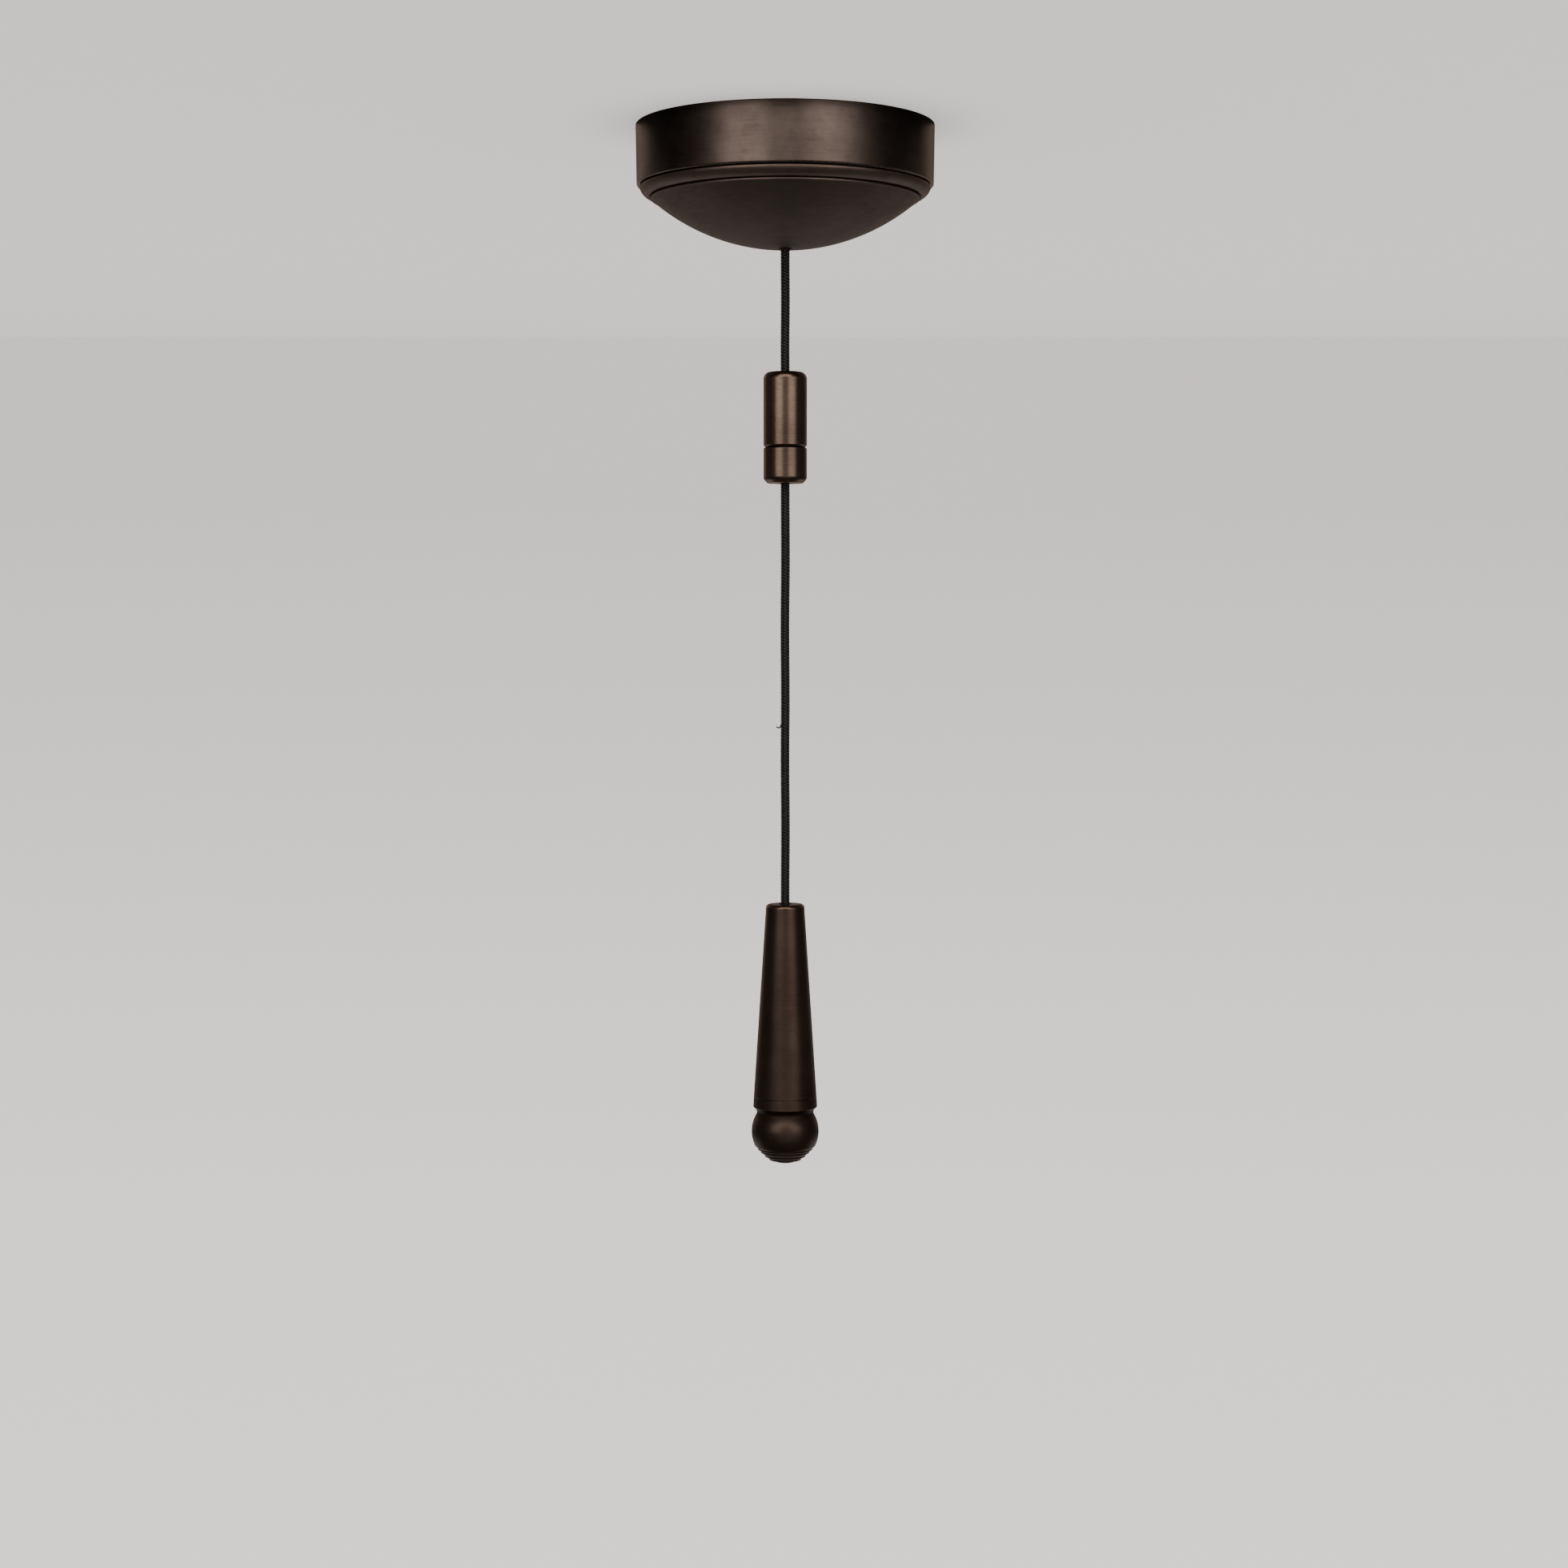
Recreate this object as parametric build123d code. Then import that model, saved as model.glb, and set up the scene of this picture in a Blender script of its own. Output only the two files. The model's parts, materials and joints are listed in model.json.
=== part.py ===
from build123d import *
import math
import os

# Ceiling pull cord switch: round canopy, ratchet switch inside it, cord with a screw
# connector, and a bell-ended pull handle.
# Millimetres. Origin: middle of the face that lies on the ceiling. +Z up, so the whole
# part is below Z = 0. X is to the right and Y away from someone who stands in front.

# ---- driving dimensions -------------------------------------------------------------
CANOPY_R = 50.0            # canopy ring, outside radius at the ceiling
CANOPY_DROP = 20.0         # depth of the ring below the ceiling
DOME_R = 69.5              # radius of the domed cover's face
DOME_CENTRE_Z = 29.0       # centre of that sphere
SHEET = 1.5                # wall of the dome and of the ring
FIXING_CENTRES = 50.8      # ceiling fixing slots, centre to centre
SLOT_WIDTH = 4.5
SLOT_LENGTH = 9.0
CABLE_HOLE_R = 8.0
CABLE_HOLE_X = -36.0
STROKE = 7.0               # travel of the pull
CORD_R = 1.45              # braided cord
CORD_HOLE_R = 1.8          # holes that the cord passes through
CORD_MOUTH_R = 2.5         # and where such a hole opens out
COUPLER_R = 7.33           # cord connector
COUPLER_TOP = -81.5
COUPLER_SPLIT = -106.5
COUPLER_FOOT = -118.8
HANDLE_TOP = -261.15
HANDLE_SEAM = -327.1
HANDLE_TIP = -350.2
HANDLE_TOP_R = 6.5
HANDLE_SEAM_R = 10.72
BALL_R = 11.47             # ball of the finial
BALL_Z = -339.05

# ---- mechanism ----------------------------------------------------------------------
WHEEL_X = 14.0             # ratchet axle, along Y
WHEEL_Z = -18.0
WHEEL_TIP_R = 7.0
WHEEL_ROOT_R = 4.4
TEETH = 6
CAM_LOW_R = 4.2
CAM_HIGH_R = 5.8
CAM_LOBES = 3
PAWL_X = 5.8               # pawl hinge
PAWL_Z = -9.0
STEM_R = 3.2
FIT = 0.08                 # running clearance on a radius
PIN_R = 0.75               # hinge pin of the pawl
AXLE_R = 1.0
BEARING_GAP = 0.05
LID_Z = -26.2              # top face of the mechanism's lid
LID_THICK = 1.8
CORD_PIVOT_Z = -38.9       # where the cord bends in its bush
COUPLER_PIVOT_Z = -82.7    # where it bends in the connector's top
LOWER_PIVOT_Z = -117.5     # and in the connector's foot
HANDLE_PIVOT_Z = -262.1    # and in the handle's top
CORD_GAP = 0.12            # gap between two lengths of the cord at a bend


# ---- helpers ------------------------------------------------------------------------
def outline(start, *steps):
    """Closed face in the XZ plane. A step is a point, or (through, end) for an arc."""
    edges = []
    here = start
    for step in steps:
        if isinstance(step[0], tuple):
            edges.append(ThreePointArc(here, step[0], step[1]))
            here = step[1]
        else:
            edges.append(Line(here, step))
            here = step
    if here != start:
        edges.append(Line(here, start))
    return Plane.XZ * make_face(edges)


def turned(start, *steps):
    """Solid turned about the Z axis from an outline in (radius, height)."""
    return revolve(outline(start, *steps), Axis.Z)


def block(x0, x1, y0, y1, z0, z1):
    return Pos((x0 + x1) / 2, (y0 + y1) / 2, (z0 + z1) / 2) * Box(x1 - x0, y1 - y0, z1 - z0)


def rod(radius, z0, z1, x=0.0, y=0.0):
    """Upright cylinder."""
    return Pos(x, y, (z0 + z1) / 2) * Cylinder(radius, abs(z1 - z0))


def rod_x(radius, x0, x1, y, z):
    return Pos((x0 + x1) / 2, y, z) * Rot(0, 90, 0) * Cylinder(radius, abs(x1 - x0))


def rod_y(radius, y0, y1, x, z):
    return Pos(x, (y0 + y1) / 2, z) * Rot(90, 0, 0) * Cylinder(radius, abs(y1 - y0))


def plate_xz(points, y0, y1):
    """Flat part cut from the XZ plane, from Y = y0 to Y = y1."""
    face = Plane.XZ * make_face(Polyline(*points, close=True))
    return Pos(0, y1, 0) * extrude(face, amount=y1 - y0)


def pan_screw(x, y, seat_z, head_r, shank_r, length, slot=0.8):
    """Screw whose head hangs under seat_z and whose shank runs up."""
    head_h = head_r * 0.75
    head = rod(head_r, seat_z - head_h, seat_z, x, y)
    head = chamfer(head.edges().group_by(Axis.Z)[0], head_h * 0.3)
    shank = rod(shank_r, seat_z, seat_z + length, x, y)
    cut = block(x - head_r, x + head_r, y - slot / 2, y + slot / 2, seat_z - head_h, seat_z - head_h * 0.55)
    return head + shank - cut


def polar(radius, degrees, x, z):
    angle = math.radians(degrees)
    return (x + radius * math.cos(angle), z + radius * math.sin(angle))


def dome_depth(radius, sphere_r):
    """Height of the dome's surface at a radius from the axis."""
    return DOME_CENTRE_Z - math.sqrt(sphere_r ** 2 - radius ** 2)


# ---- canopy -------------------------------------------------------------------------
PLATE_THICK = 2.0
PLATE_R = 47.9
FLANGE_DROP = 11.0
SIDE_SCREW_Z = -8.6
BASE_SCREW_X = 4.0
BASE_SCREW_Y = 13.3


def back_plate():
    flange_r = PLATE_R - 1.2
    corner = 1.5
    tapping_r = 1.3
    clearance_r = 1.45
    beyond = 1.0
    plate = turned(
        (0, 0),
        (PLATE_R - corner, 0),
        ((PLATE_R - corner * 0.3, -corner * 0.3), (PLATE_R, -corner)),
        (PLATE_R, -FLANGE_DROP),
        (flange_r, -FLANGE_DROP),
        (flange_r, -PLATE_THICK),
        (0, -PLATE_THICK),
    )
    for side in (-1, 1):
        slot = Pos(0, side * FIXING_CENTRES / 2, 0) * Rot(0, 0, 90)
        plate -= slot * extrude(SlotOverall(SLOT_LENGTH, SLOT_WIDTH), amount=PLATE_THICK * 2, both=True)
        plate -= rod_x(tapping_r, side * (flange_r - beyond), side * (PLATE_R + beyond), 0, SIDE_SCREW_Z)
        plate -= rod(clearance_r, -PLATE_THICK - beyond, beyond, BASE_SCREW_X, side * BASE_SCREW_Y)
    plate -= rod(CABLE_HOLE_R, -PLATE_THICK - beyond, beyond, CABLE_HOLE_X)
    plate -= rod(EARTH_HOLE_R, -PLATE_THICK - beyond, beyond, *EARTH_SPOT)
    return plate


def canopy_ring():
    inner = 48.2
    land_r = 47.0
    land_z = -12.0
    lip_z = -CANOPY_DROP + 0.15
    draft = 0.25
    round_r = 0.6
    screw_hole_r = 1.8
    beyond = 1.0
    ring = turned(
        (inner, 0),
        (CANOPY_R, 0),
        (CANOPY_R - draft, lip_z + round_r),
        ((CANOPY_R - draft - round_r * 0.29, lip_z + round_r * 0.29), (CANOPY_R - draft - round_r, lip_z)),
        (land_r, lip_z),
        (land_r, land_z),
        (inner, land_z + 0.6),
    )
    for side in (-1, 1):
        ring -= rod_x(screw_hole_r, side * (inner - beyond), side * (CANOPY_R + beyond), 0, SIDE_SCREW_Z)
    return ring


def dome_cover():
    spigot_r = 46.95
    spigot_in = 45.3
    spigot_top = -13.0
    bead_r = 48.6
    bead_z = -CANOPY_DROP - 0.2
    bead_foot_r = 45.6
    bead_foot_z = -23.4
    groove_r = 44.15
    groove_z = -22.9
    lip_r = 44.95
    lip_z = -23.9
    lip_drop = 0.4
    face_r = 44.4
    inner_r = DOME_R - SHEET
    shoulder_r = 43.0
    hole_r = 2.75
    return turned(
        (spigot_in, spigot_top),
        (spigot_r, spigot_top),
        (spigot_r, -CANOPY_DROP),
        (spigot_r + 0.4, bead_z + 0.05),
        (bead_r, bead_z),
        (bead_r, bead_z - 0.9),
        ((47.4, -22.6), (bead_foot_r, bead_foot_z)),
        (groove_r, groove_z),
        (groove_r - 0.1, groove_z - 0.35),
        (lip_r, lip_z),
        (lip_r, lip_z - lip_drop),
        (face_r, dome_depth(face_r, DOME_R)),
        ((25.0, dome_depth(25.0, DOME_R)), (hole_r, dome_depth(hole_r, DOME_R))),
        (hole_r, dome_depth(hole_r, inner_r)),
        ((24.0, dome_depth(24.0, inner_r)), (shoulder_r, dome_depth(shoulder_r, inner_r))),
        (spigot_in, -21.2),
    )


def side_fixing_screws():
    head_r = 1.7
    shank_r = 1.25
    key_r = 0.75
    point_x = 45.4
    seat_x = 48.05
    key_x = 49.2
    sunk = 0.25
    screws = []
    for side in (-1, 1):
        head = rod_x(head_r, side * seat_x, side * (CANOPY_R - sunk), 0, SIDE_SCREW_Z)
        head -= rod_x(key_r, side * key_x, side * (CANOPY_R + 1), 0, SIDE_SCREW_Z)
        screws.append(head + rod_x(shank_r, side * point_x, side * seat_x, 0, SIDE_SCREW_Z))
    return Compound(screws)


def cord_exit_bush():
    flange_r = 5.0
    flange_top = -37.6
    flange_foot = -38.72
    sleeve_r = 2.7
    sleeve_foot = -40.5
    throat_r = CORD_R + 0.3
    return turned(
        (2.2, flange_top),
        (flange_r, flange_top),
        (flange_r, flange_foot),
        (sleeve_r, flange_foot - 0.06),
        (sleeve_r, sleeve_foot),
        (sleeve_r - 0.35, sleeve_foot),
        (throat_r, CORD_PIVOT_Z),
    )


# ---- switch base --------------------------------------------------------------------
BASE_TOP = -2.0
BASE_SLAB = -5.5
PILLARS = ((-13.0, 0.0), (29.0, 0.0))
TERMINAL_Y = 9.0
LOOP_X = -19.0
EARTH_SPOT = (26.0, -22.0)
EARTH_HOLE_R = 1.65
BASE_X0 = -25.0
BASE_X1 = 34.0
BASE_HALF = 16.0           # half the base's width
CHEEK_Y = 9.75             # middle of each side wall of the mechanism
CHEEK_THICK = 1.5
PILLAR_R = 3.2
PILLAR_HOLE_R = 1.3
POST_FOOT = -26.0          # feet of the walls and pillars, just above the lid


def base_moulding():
    corner = 3.0
    screw_hole_r = 1.6
    half = CHEEK_THICK / 2
    base = block(BASE_X0, BASE_X1, -BASE_HALF, BASE_HALF, BASE_SLAB, BASE_TOP)
    base = fillet(base.edges().filter_by(Axis.Z), corner)
    for side in (-1, 1):
        middle = side * CHEEK_Y
        base += block(-9, 24, middle - half, middle + half, POST_FOOT, BASE_SLAB)
        base -= rod(screw_hole_r, BASE_SLAB - 1, BASE_TOP + 1, BASE_SCREW_X, side * BASE_SCREW_Y)
    for x, y in PILLARS:
        base += rod(PILLAR_R, POST_FOOT, BASE_SLAB, x, y)
        base -= rod(PILLAR_HOLE_R, LID_Z, -16.0, x, y)
    for side in (-1, 1):
        middle = side * (CHEEK_Y - half)
        base -= rod_y(AXLE_R + BEARING_GAP, middle - 2, middle + 2, WHEEL_X, WHEEL_Z)
    return base


def base_screws():
    return Compound(
        [pan_screw(BASE_SCREW_X, side * BASE_SCREW_Y, BASE_SLAB, 2.4, 1.4, 5.2) for side in (-1, 1)]
    )


def mechanism_cover():
    bottom = LID_Z - LID_THICK
    ear_r = 4.0
    nose_r = 5.5
    nose_foot = -31.0
    screw_hole_r = 1.5
    lid = block(-10, 25, -CHEEK_Y - 0.75, CHEEK_Y + 0.75, bottom, LID_Z)
    for x, y in PILLARS:
        lid += rod(ear_r, bottom, LID_Z, x, y)
        lid += block(min(x, 20), max(x, -5), -ear_r, ear_r, bottom, LID_Z)
    lid += rod(nose_r, nose_foot, bottom)
    lid -= rod(STEM_R + FIT, nose_foot - 1, LID_Z + 1)
    for x, y in PILLARS:
        lid -= rod(screw_hole_r, bottom - 1, LID_Z + 1, x, y)
    return lid


def cover_screws():
    return Compound([pan_screw(x, y, LID_Z - LID_THICK, 2.3, 1.25, 9.0) for x, y in PILLARS])


# ---- terminals ----------------------------------------------------------------------
TERMINAL_X = 29.0          # the two terminals beside the contacts
TERMINAL_HALF_X = 4.0
TERMINAL_HALF_Y = 3.3
TERMINAL_TALL = 8.6
TERMINAL_TOP = -5.52
WIRE_HOLE_R = 1.6
STRIP_TOP = -5.55


def terminal_block(x, y):
    """Brass block with a wire hole along X and a tapped hole from below."""
    x0 = x - TERMINAL_HALF_X
    x1 = x + TERMINAL_HALF_X
    foot = TERMINAL_TOP - TERMINAL_TALL
    wire_z = TERMINAL_TOP - 3.6
    tapping_r = 1.3
    body = block(x0, x1, y - TERMINAL_HALF_Y, y + TERMINAL_HALF_Y, foot, TERMINAL_TOP)
    body = chamfer(body.edges().filter_by(Axis.Z), 0.4)
    body -= rod_x(WIRE_HOLE_R, x0 - 1, x1 + 1, y, wire_z)
    body -= rod(tapping_r, foot - 1, wire_z, x, y)
    return body


def common_terminal():
    """Terminal whose strip carries the moving blade's root."""
    x0 = 19.8
    x1 = 22.3
    y0 = -7.6
    under = -7.6
    step = -6.6
    strip = block(x0, x1, y0, -5.7, under, STRIP_TOP)
    strip += block(x0, x1, y0, 3.0, under, step)
    strip += block(x0, 26.0, y0, -5.8, step, STRIP_TOP)
    return terminal_block(TERMINAL_X, -TERMINAL_Y) + strip


def switched_terminal():
    """Terminal whose strip runs down to the fixed contact."""
    x0 = 23.3
    x1 = 24.1
    y1 = 7.6
    foot = -25.0
    strip = block(x0, 26.0, 5.8, y1, -7.4, STRIP_TOP)
    strip += block(x0, x1, 3.2, y1, foot, STRIP_TOP)
    strip += block(x0, x1, BLADE_Y0, 3.4, foot, -21.0)
    strip -= rod_x(RIVET_HOLE_R, x0 - 1, x1 + 1, (BLADE_Y0 + BLADE_Y1) / 2, CONTACT_Z)
    return terminal_block(TERMINAL_X, TERMINAL_Y) + strip


def loop_terminal():
    return terminal_block(LOOP_X, TERMINAL_Y)


def terminal_screws():
    seat = TERMINAL_TOP - TERMINAL_TALL
    spots = ((TERMINAL_X, -TERMINAL_Y), (TERMINAL_X, TERMINAL_Y), (LOOP_X, TERMINAL_Y))
    return Compound([pan_screw(x, y, seat, 1.9, 1.25, 3.4, 0.6) for x, y in spots])


EARTH_TAG = 1.2            # thickness of the earth tag


def earth_terminal():
    x, y = EARTH_SPOT
    half_x = 4.0
    half_y = 3.0
    wall = 1.1
    tag = block(x - half_x, x + half_x, y - half_y, y + half_y, -PLATE_THICK - EARTH_TAG, -PLATE_THICK)
    tag += block(x - half_x, x - half_x + wall, y - half_y, y + half_y, -PLATE_THICK - 5, -PLATE_THICK)
    return tag - rod(EARTH_HOLE_R, -PLATE_THICK - 4, 1, x, y)


def earth_screw():
    x, y = EARTH_SPOT
    return pan_screw(x, y, -PLATE_THICK - EARTH_TAG, 2.6, 1.5, 2.9)


# ---- contacts -----------------------------------------------------------------------
BLADE_X = 19.25
CONTACT_Z = -23.0
BLADE_ROOT_Z = -7.8
BLADE_Y0 = -1.2
BLADE_Y1 = 2.8
BLADE_HALF = 0.25          # half the blade's thickness
BLADE_FOOT = -24.6
RIVET_R = 1.5
RIVET_HOLE_R = 0.8
RIVET_SHANK_R = 0.78


def contact_blade():
    rub = 18.65
    near = BLADE_X - BLADE_HALF
    far = BLADE_X + BLADE_HALF
    points = (
        (near, BLADE_ROOT_Z),
        (far, BLADE_ROOT_Z),
        (far, -16.4),
        (rub + 2 * BLADE_HALF, WHEEL_Z),
        (far, -19.6),
        (far, BLADE_FOOT),
        (near, BLADE_FOOT),
        (near, -19.4),
        (rub, WHEEL_Z),
        (near, -16.6),
    )
    blade = plate_xz(points, BLADE_Y0, BLADE_Y1)
    middle = (BLADE_Y0 + BLADE_Y1) / 2
    return blade - rod_x(RIVET_HOLE_R, BLADE_X - 1, BLADE_X + 1, middle, CONTACT_Z)


def contact_rivet(x_face, x_back):
    """Flat silver contact with its shank through a strip towards x_back."""
    middle = (BLADE_Y0 + BLADE_Y1) / 2
    toward = 1 if x_back > x_face else -1
    head = rod_x(RIVET_R, x_face, x_face + toward * 0.55, middle, CONTACT_Z)
    shank = rod_x(RIVET_SHANK_R, x_face + toward * 0.5, x_back, middle, CONTACT_Z)
    return head + shank


def moving_contact_rivet():
    return contact_rivet(BLADE_X + BLADE_HALF + 0.57, BLADE_X - BLADE_HALF - 0.2)


def fixed_contact_rivet():
    return contact_rivet(22.72, 24.3)


# ---- ratchet ------------------------------------------------------------------------
def ratchet_wheel():
    step = 360 / TEETH
    points = []
    for tooth in range(TEETH):
        start = 150 + tooth * step
        points.append(polar(WHEEL_ROOT_R, start, WHEEL_X, WHEEL_Z))
        points.append(polar(WHEEL_TIP_R, start, WHEEL_X, WHEEL_Z))
        points.append(polar(WHEEL_TIP_R - 0.05, start + 7, WHEEL_X, WHEEL_Z))
        for part in (0.3, 0.6):
            radius = WHEEL_TIP_R + (WHEEL_ROOT_R - WHEEL_TIP_R) * (part + 0.12)
            points.append(polar(radius, start + part * step, WHEEL_X, WHEEL_Z))
    wheel = plate_xz(points, -5.0, -2.0)
    return wheel - rod_y(AXLE_R + BEARING_GAP, -6, -1, WHEEL_X, WHEEL_Z)


def switching_cam():
    """Three-lobed cam, low towards the blade at rest, high after one pull."""
    points = []
    slices = 8
    for lobe in range(CAM_LOBES):
        for i in range(slices):
            part = i / slices
            rise = 0.5 - 0.5 * math.cos(2 * math.pi * part)
            radius = CAM_LOW_R + (CAM_HIGH_R - CAM_LOW_R) * rise
            points.append(polar(radius, 120 * (lobe + part), WHEEL_X, WHEEL_Z))
    cam = plate_xz(points, -1.9, 3.0)
    return cam - rod_y(AXLE_R + BEARING_GAP, -3, 4, WHEEL_X, WHEEL_Z)


def ratchet_axle():
    end = CHEEK_Y + 0.65
    return rod_y(AXLE_R, -end, end, WHEEL_X, WHEEL_Z)


def detent_spring():
    """Leaf that rests in the teeth and stops the wheel turning back."""
    points = (
        (21.0, TERMINAL_TOP),
        (21.0, -6.2),
        (18.6, -6.2),
        (12.6, -10.95),
        (12.2, -10.6),
        (18.3, TERMINAL_TOP),
    )
    return plate_xz(points, -4.8, -2.2)


# ---- plunger and pawl ---------------------------------------------------------------
HEAD_TOP = -7.5
HEAD_FOOT = -13.0
STEM_FOOT = -29.5
SPRING_R = 3.95
SPRING_WIRE_R = 0.33
SPRING_TURNS = 5.5
PAWL_Y0 = -4.9
PAWL_Y1 = -2.1


def plunger():
    half_x = 5.0
    half_y = 8.6
    socket_r = 3.9
    socket_floor = -11.6
    ear_foot = -10.6
    ear_end = 7.2
    body = block(-half_x, half_x, -half_y, half_y, HEAD_FOOT, HEAD_TOP)
    body = chamfer(body.edges().filter_by(Axis.Z), 0.6)
    body += rod(STEM_R, STEM_FOOT, HEAD_FOOT)
    body -= rod(CORD_HOLE_R, STEM_FOOT - 1, HEAD_TOP + 1)
    body -= rod(socket_r, socket_floor, HEAD_TOP + 1)
    for y0, y1 in ((PAWL_Y0 - 1.7, PAWL_Y0 - 0.2), (PAWL_Y1 + 0.2, PAWL_Y1 + 1.7)):
        body += block(half_x - 0.5, ear_end, y0, y1, ear_foot, HEAD_TOP)
    body -= block(socket_r, ear_end + 0.8, PAWL_Y0 - 0.2, PAWL_Y1 + 0.2, HEAD_FOOT - 1, HEAD_TOP + 1)
    body -= rod_y(PIN_R + BEARING_GAP, -7, 0, PAWL_X, PAWL_Z)
    return body


def pawl():
    """Hook that hangs from the plunger and pulls the ratchet's teeth down."""
    foot = WHEEL_Z + 3.85
    near = PAWL_X - 0.7
    far = PAWL_X + 0.7
    hook = 8.15
    eye_r = 1.25
    points = (
        (near, PAWL_Z),
        (far, PAWL_Z),
        (far, foot + 1.6),
        (hook, foot + 0.9),
        (hook, foot),
        (near, foot),
    )
    arm = plate_xz(points, PAWL_Y0, PAWL_Y1)
    arm += rod_y(eye_r, PAWL_Y0, PAWL_Y1, PAWL_X, PAWL_Z)
    return arm - rod_y(PIN_R + BEARING_GAP, PAWL_Y0 - 1, PAWL_Y1 + 1, PAWL_X, PAWL_Z)


def pawl_pin():
    return rod_y(PIN_R, PAWL_Y0 - 1.6, PAWL_Y1 + 1.6, PAWL_X, PAWL_Z)


def return_spring():
    top = HEAD_FOOT - SPRING_WIRE_R - 0.05
    foot = LID_Z + SPRING_WIRE_R + 0.05
    pitch = (top - foot) / SPRING_TURNS
    path = Pos(0, 0, foot) * Helix(pitch=pitch, height=top - foot, radius=SPRING_R)
    section = Plane(origin=path @ 0, z_dir=path % 0) * Circle(SPRING_WIRE_R)
    return sweep(section, path=path, is_frenet=True)


# ---- cord ---------------------------------------------------------------------------
def cord_run(z_top, z_foot, round_top=False, round_foot=False):
    """Straight length of cord. A rounded end is centred on the bend it belongs to."""
    run = rod(CORD_R, z_foot, z_top)
    if round_top:
        run += Pos(0, 0, z_top) * Sphere(CORD_R)
    if round_foot:
        run += Pos(0, 0, z_foot) * Sphere(CORD_R)
    return run


def knot(z_top, height, radius):
    """Tight overhand knot as one lump, waisted in the middle."""
    waist = radius * 0.86
    foot = z_top - height
    middle = z_top - height / 2
    core = CORD_R
    return turned(
        (0, z_top),
        (core, z_top),
        ((radius * 0.88, z_top - height * 0.1), (radius, z_top - height * 0.27)),
        (waist, middle),
        (radius, foot + height * 0.27),
        ((radius * 0.88, foot + height * 0.1), (core, foot)),
        (0, foot),
    )


SWITCH_KNOT = (-7.9, 3.55, 3.4)            # top, height and radius of each knot
UPPER_KNOT = (-86.0, 6.0, 3.5)
LOWER_TOP_KNOT = (-108.3, 6.0, 3.5)
HANDLE_KNOT = (-265.6, 6.0, 3.5)


def cord_in_switch():
    return cord_run(SWITCH_KNOT[0] - SWITCH_KNOT[1], CORD_PIVOT_Z + CORD_R + CORD_GAP)


def upper_cord():
    return cord_run(CORD_PIVOT_Z, COUPLER_PIVOT_Z, True, True)


def cord_in_connector():
    return cord_run(COUPLER_PIVOT_Z - CORD_R - CORD_GAP, UPPER_KNOT[0])


def lower_cord():
    return cord_run(LOWER_PIVOT_Z, HANDLE_PIVOT_Z, True, True)


def cord_in_connector_foot():
    return cord_run(LOWER_TOP_KNOT[0] - LOWER_TOP_KNOT[1], LOWER_PIVOT_Z + CORD_R + CORD_GAP)


def cord_in_handle():
    return cord_run(HANDLE_PIVOT_Z - CORD_R - CORD_GAP, HANDLE_KNOT[0])


# ---- cord connector -----------------------------------------------------------------
THREAD_R = 5.6


def coupler_upper():
    top_fillet = 2.3
    bevel = 0.35
    foot = COUPLER_SPLIT + 0.05
    socket_roof = -98.4
    cavity = 4.8
    roof = -85.0
    return turned(
        (CORD_HOLE_R, COUPLER_PIVOT_Z - 0.4),
        (CORD_MOUTH_R, COUPLER_TOP),
        (COUPLER_R - top_fillet, COUPLER_TOP),
        ((COUPLER_R - 0.62, COUPLER_TOP - 0.72), (COUPLER_R, COUPLER_TOP - top_fillet)),
        (COUPLER_R, foot + 0.45),
        (COUPLER_R - bevel, foot),
        (THREAD_R, foot),
        (THREAD_R, socket_roof),
        (cavity, socket_roof),
        (cavity, roof),
        (CORD_HOLE_R, roof),
    )


def coupler_lower():
    spigot_r = THREAD_R - 0.02
    spigot_top = -98.6
    bevel = 0.5
    cavity = 4.3
    floor = -114.45
    foot_fillet = 1.6
    return turned(
        (cavity, spigot_top),
        (spigot_r, spigot_top),
        (spigot_r, COUPLER_SPLIT),
        (COUPLER_R - bevel, COUPLER_SPLIT),
        (COUPLER_R, COUPLER_SPLIT - 0.6),
        (COUPLER_R, COUPLER_FOOT + foot_fillet),
        ((COUPLER_R - 0.5, COUPLER_FOOT + 0.7), (COUPLER_R - foot_fillet, COUPLER_FOOT)),
        (CORD_MOUTH_R + 0.2, COUPLER_FOOT),
        (CORD_HOLE_R, LOWER_PIVOT_Z + 0.3),
        (CORD_HOLE_R, floor),
        (cavity, floor),
    )


# ---- pull handle --------------------------------------------------------------------
def handle_body():
    roof = -264.8
    roof_r = 4.7
    bore = 8.2
    bore_top = -313.0
    fillet_r = 1.3
    inset = fillet_r * 0.29
    return turned(
        (CORD_HOLE_R, HANDLE_PIVOT_Z - 0.5),
        (CORD_MOUTH_R - 0.1, HANDLE_TOP),
        (HANDLE_TOP_R - fillet_r, HANDLE_TOP),
        ((HANDLE_TOP_R - inset, HANDLE_TOP - inset), (HANDLE_TOP_R, HANDLE_TOP - fillet_r)),
        (HANDLE_SEAM_R, HANDLE_SEAM),
        (bore, HANDLE_SEAM),
        (bore, bore_top),
        (bore - 0.3, bore_top + 1.5),
        (roof_r, roof),
        (CORD_HOLE_R, roof),
    )


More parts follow.
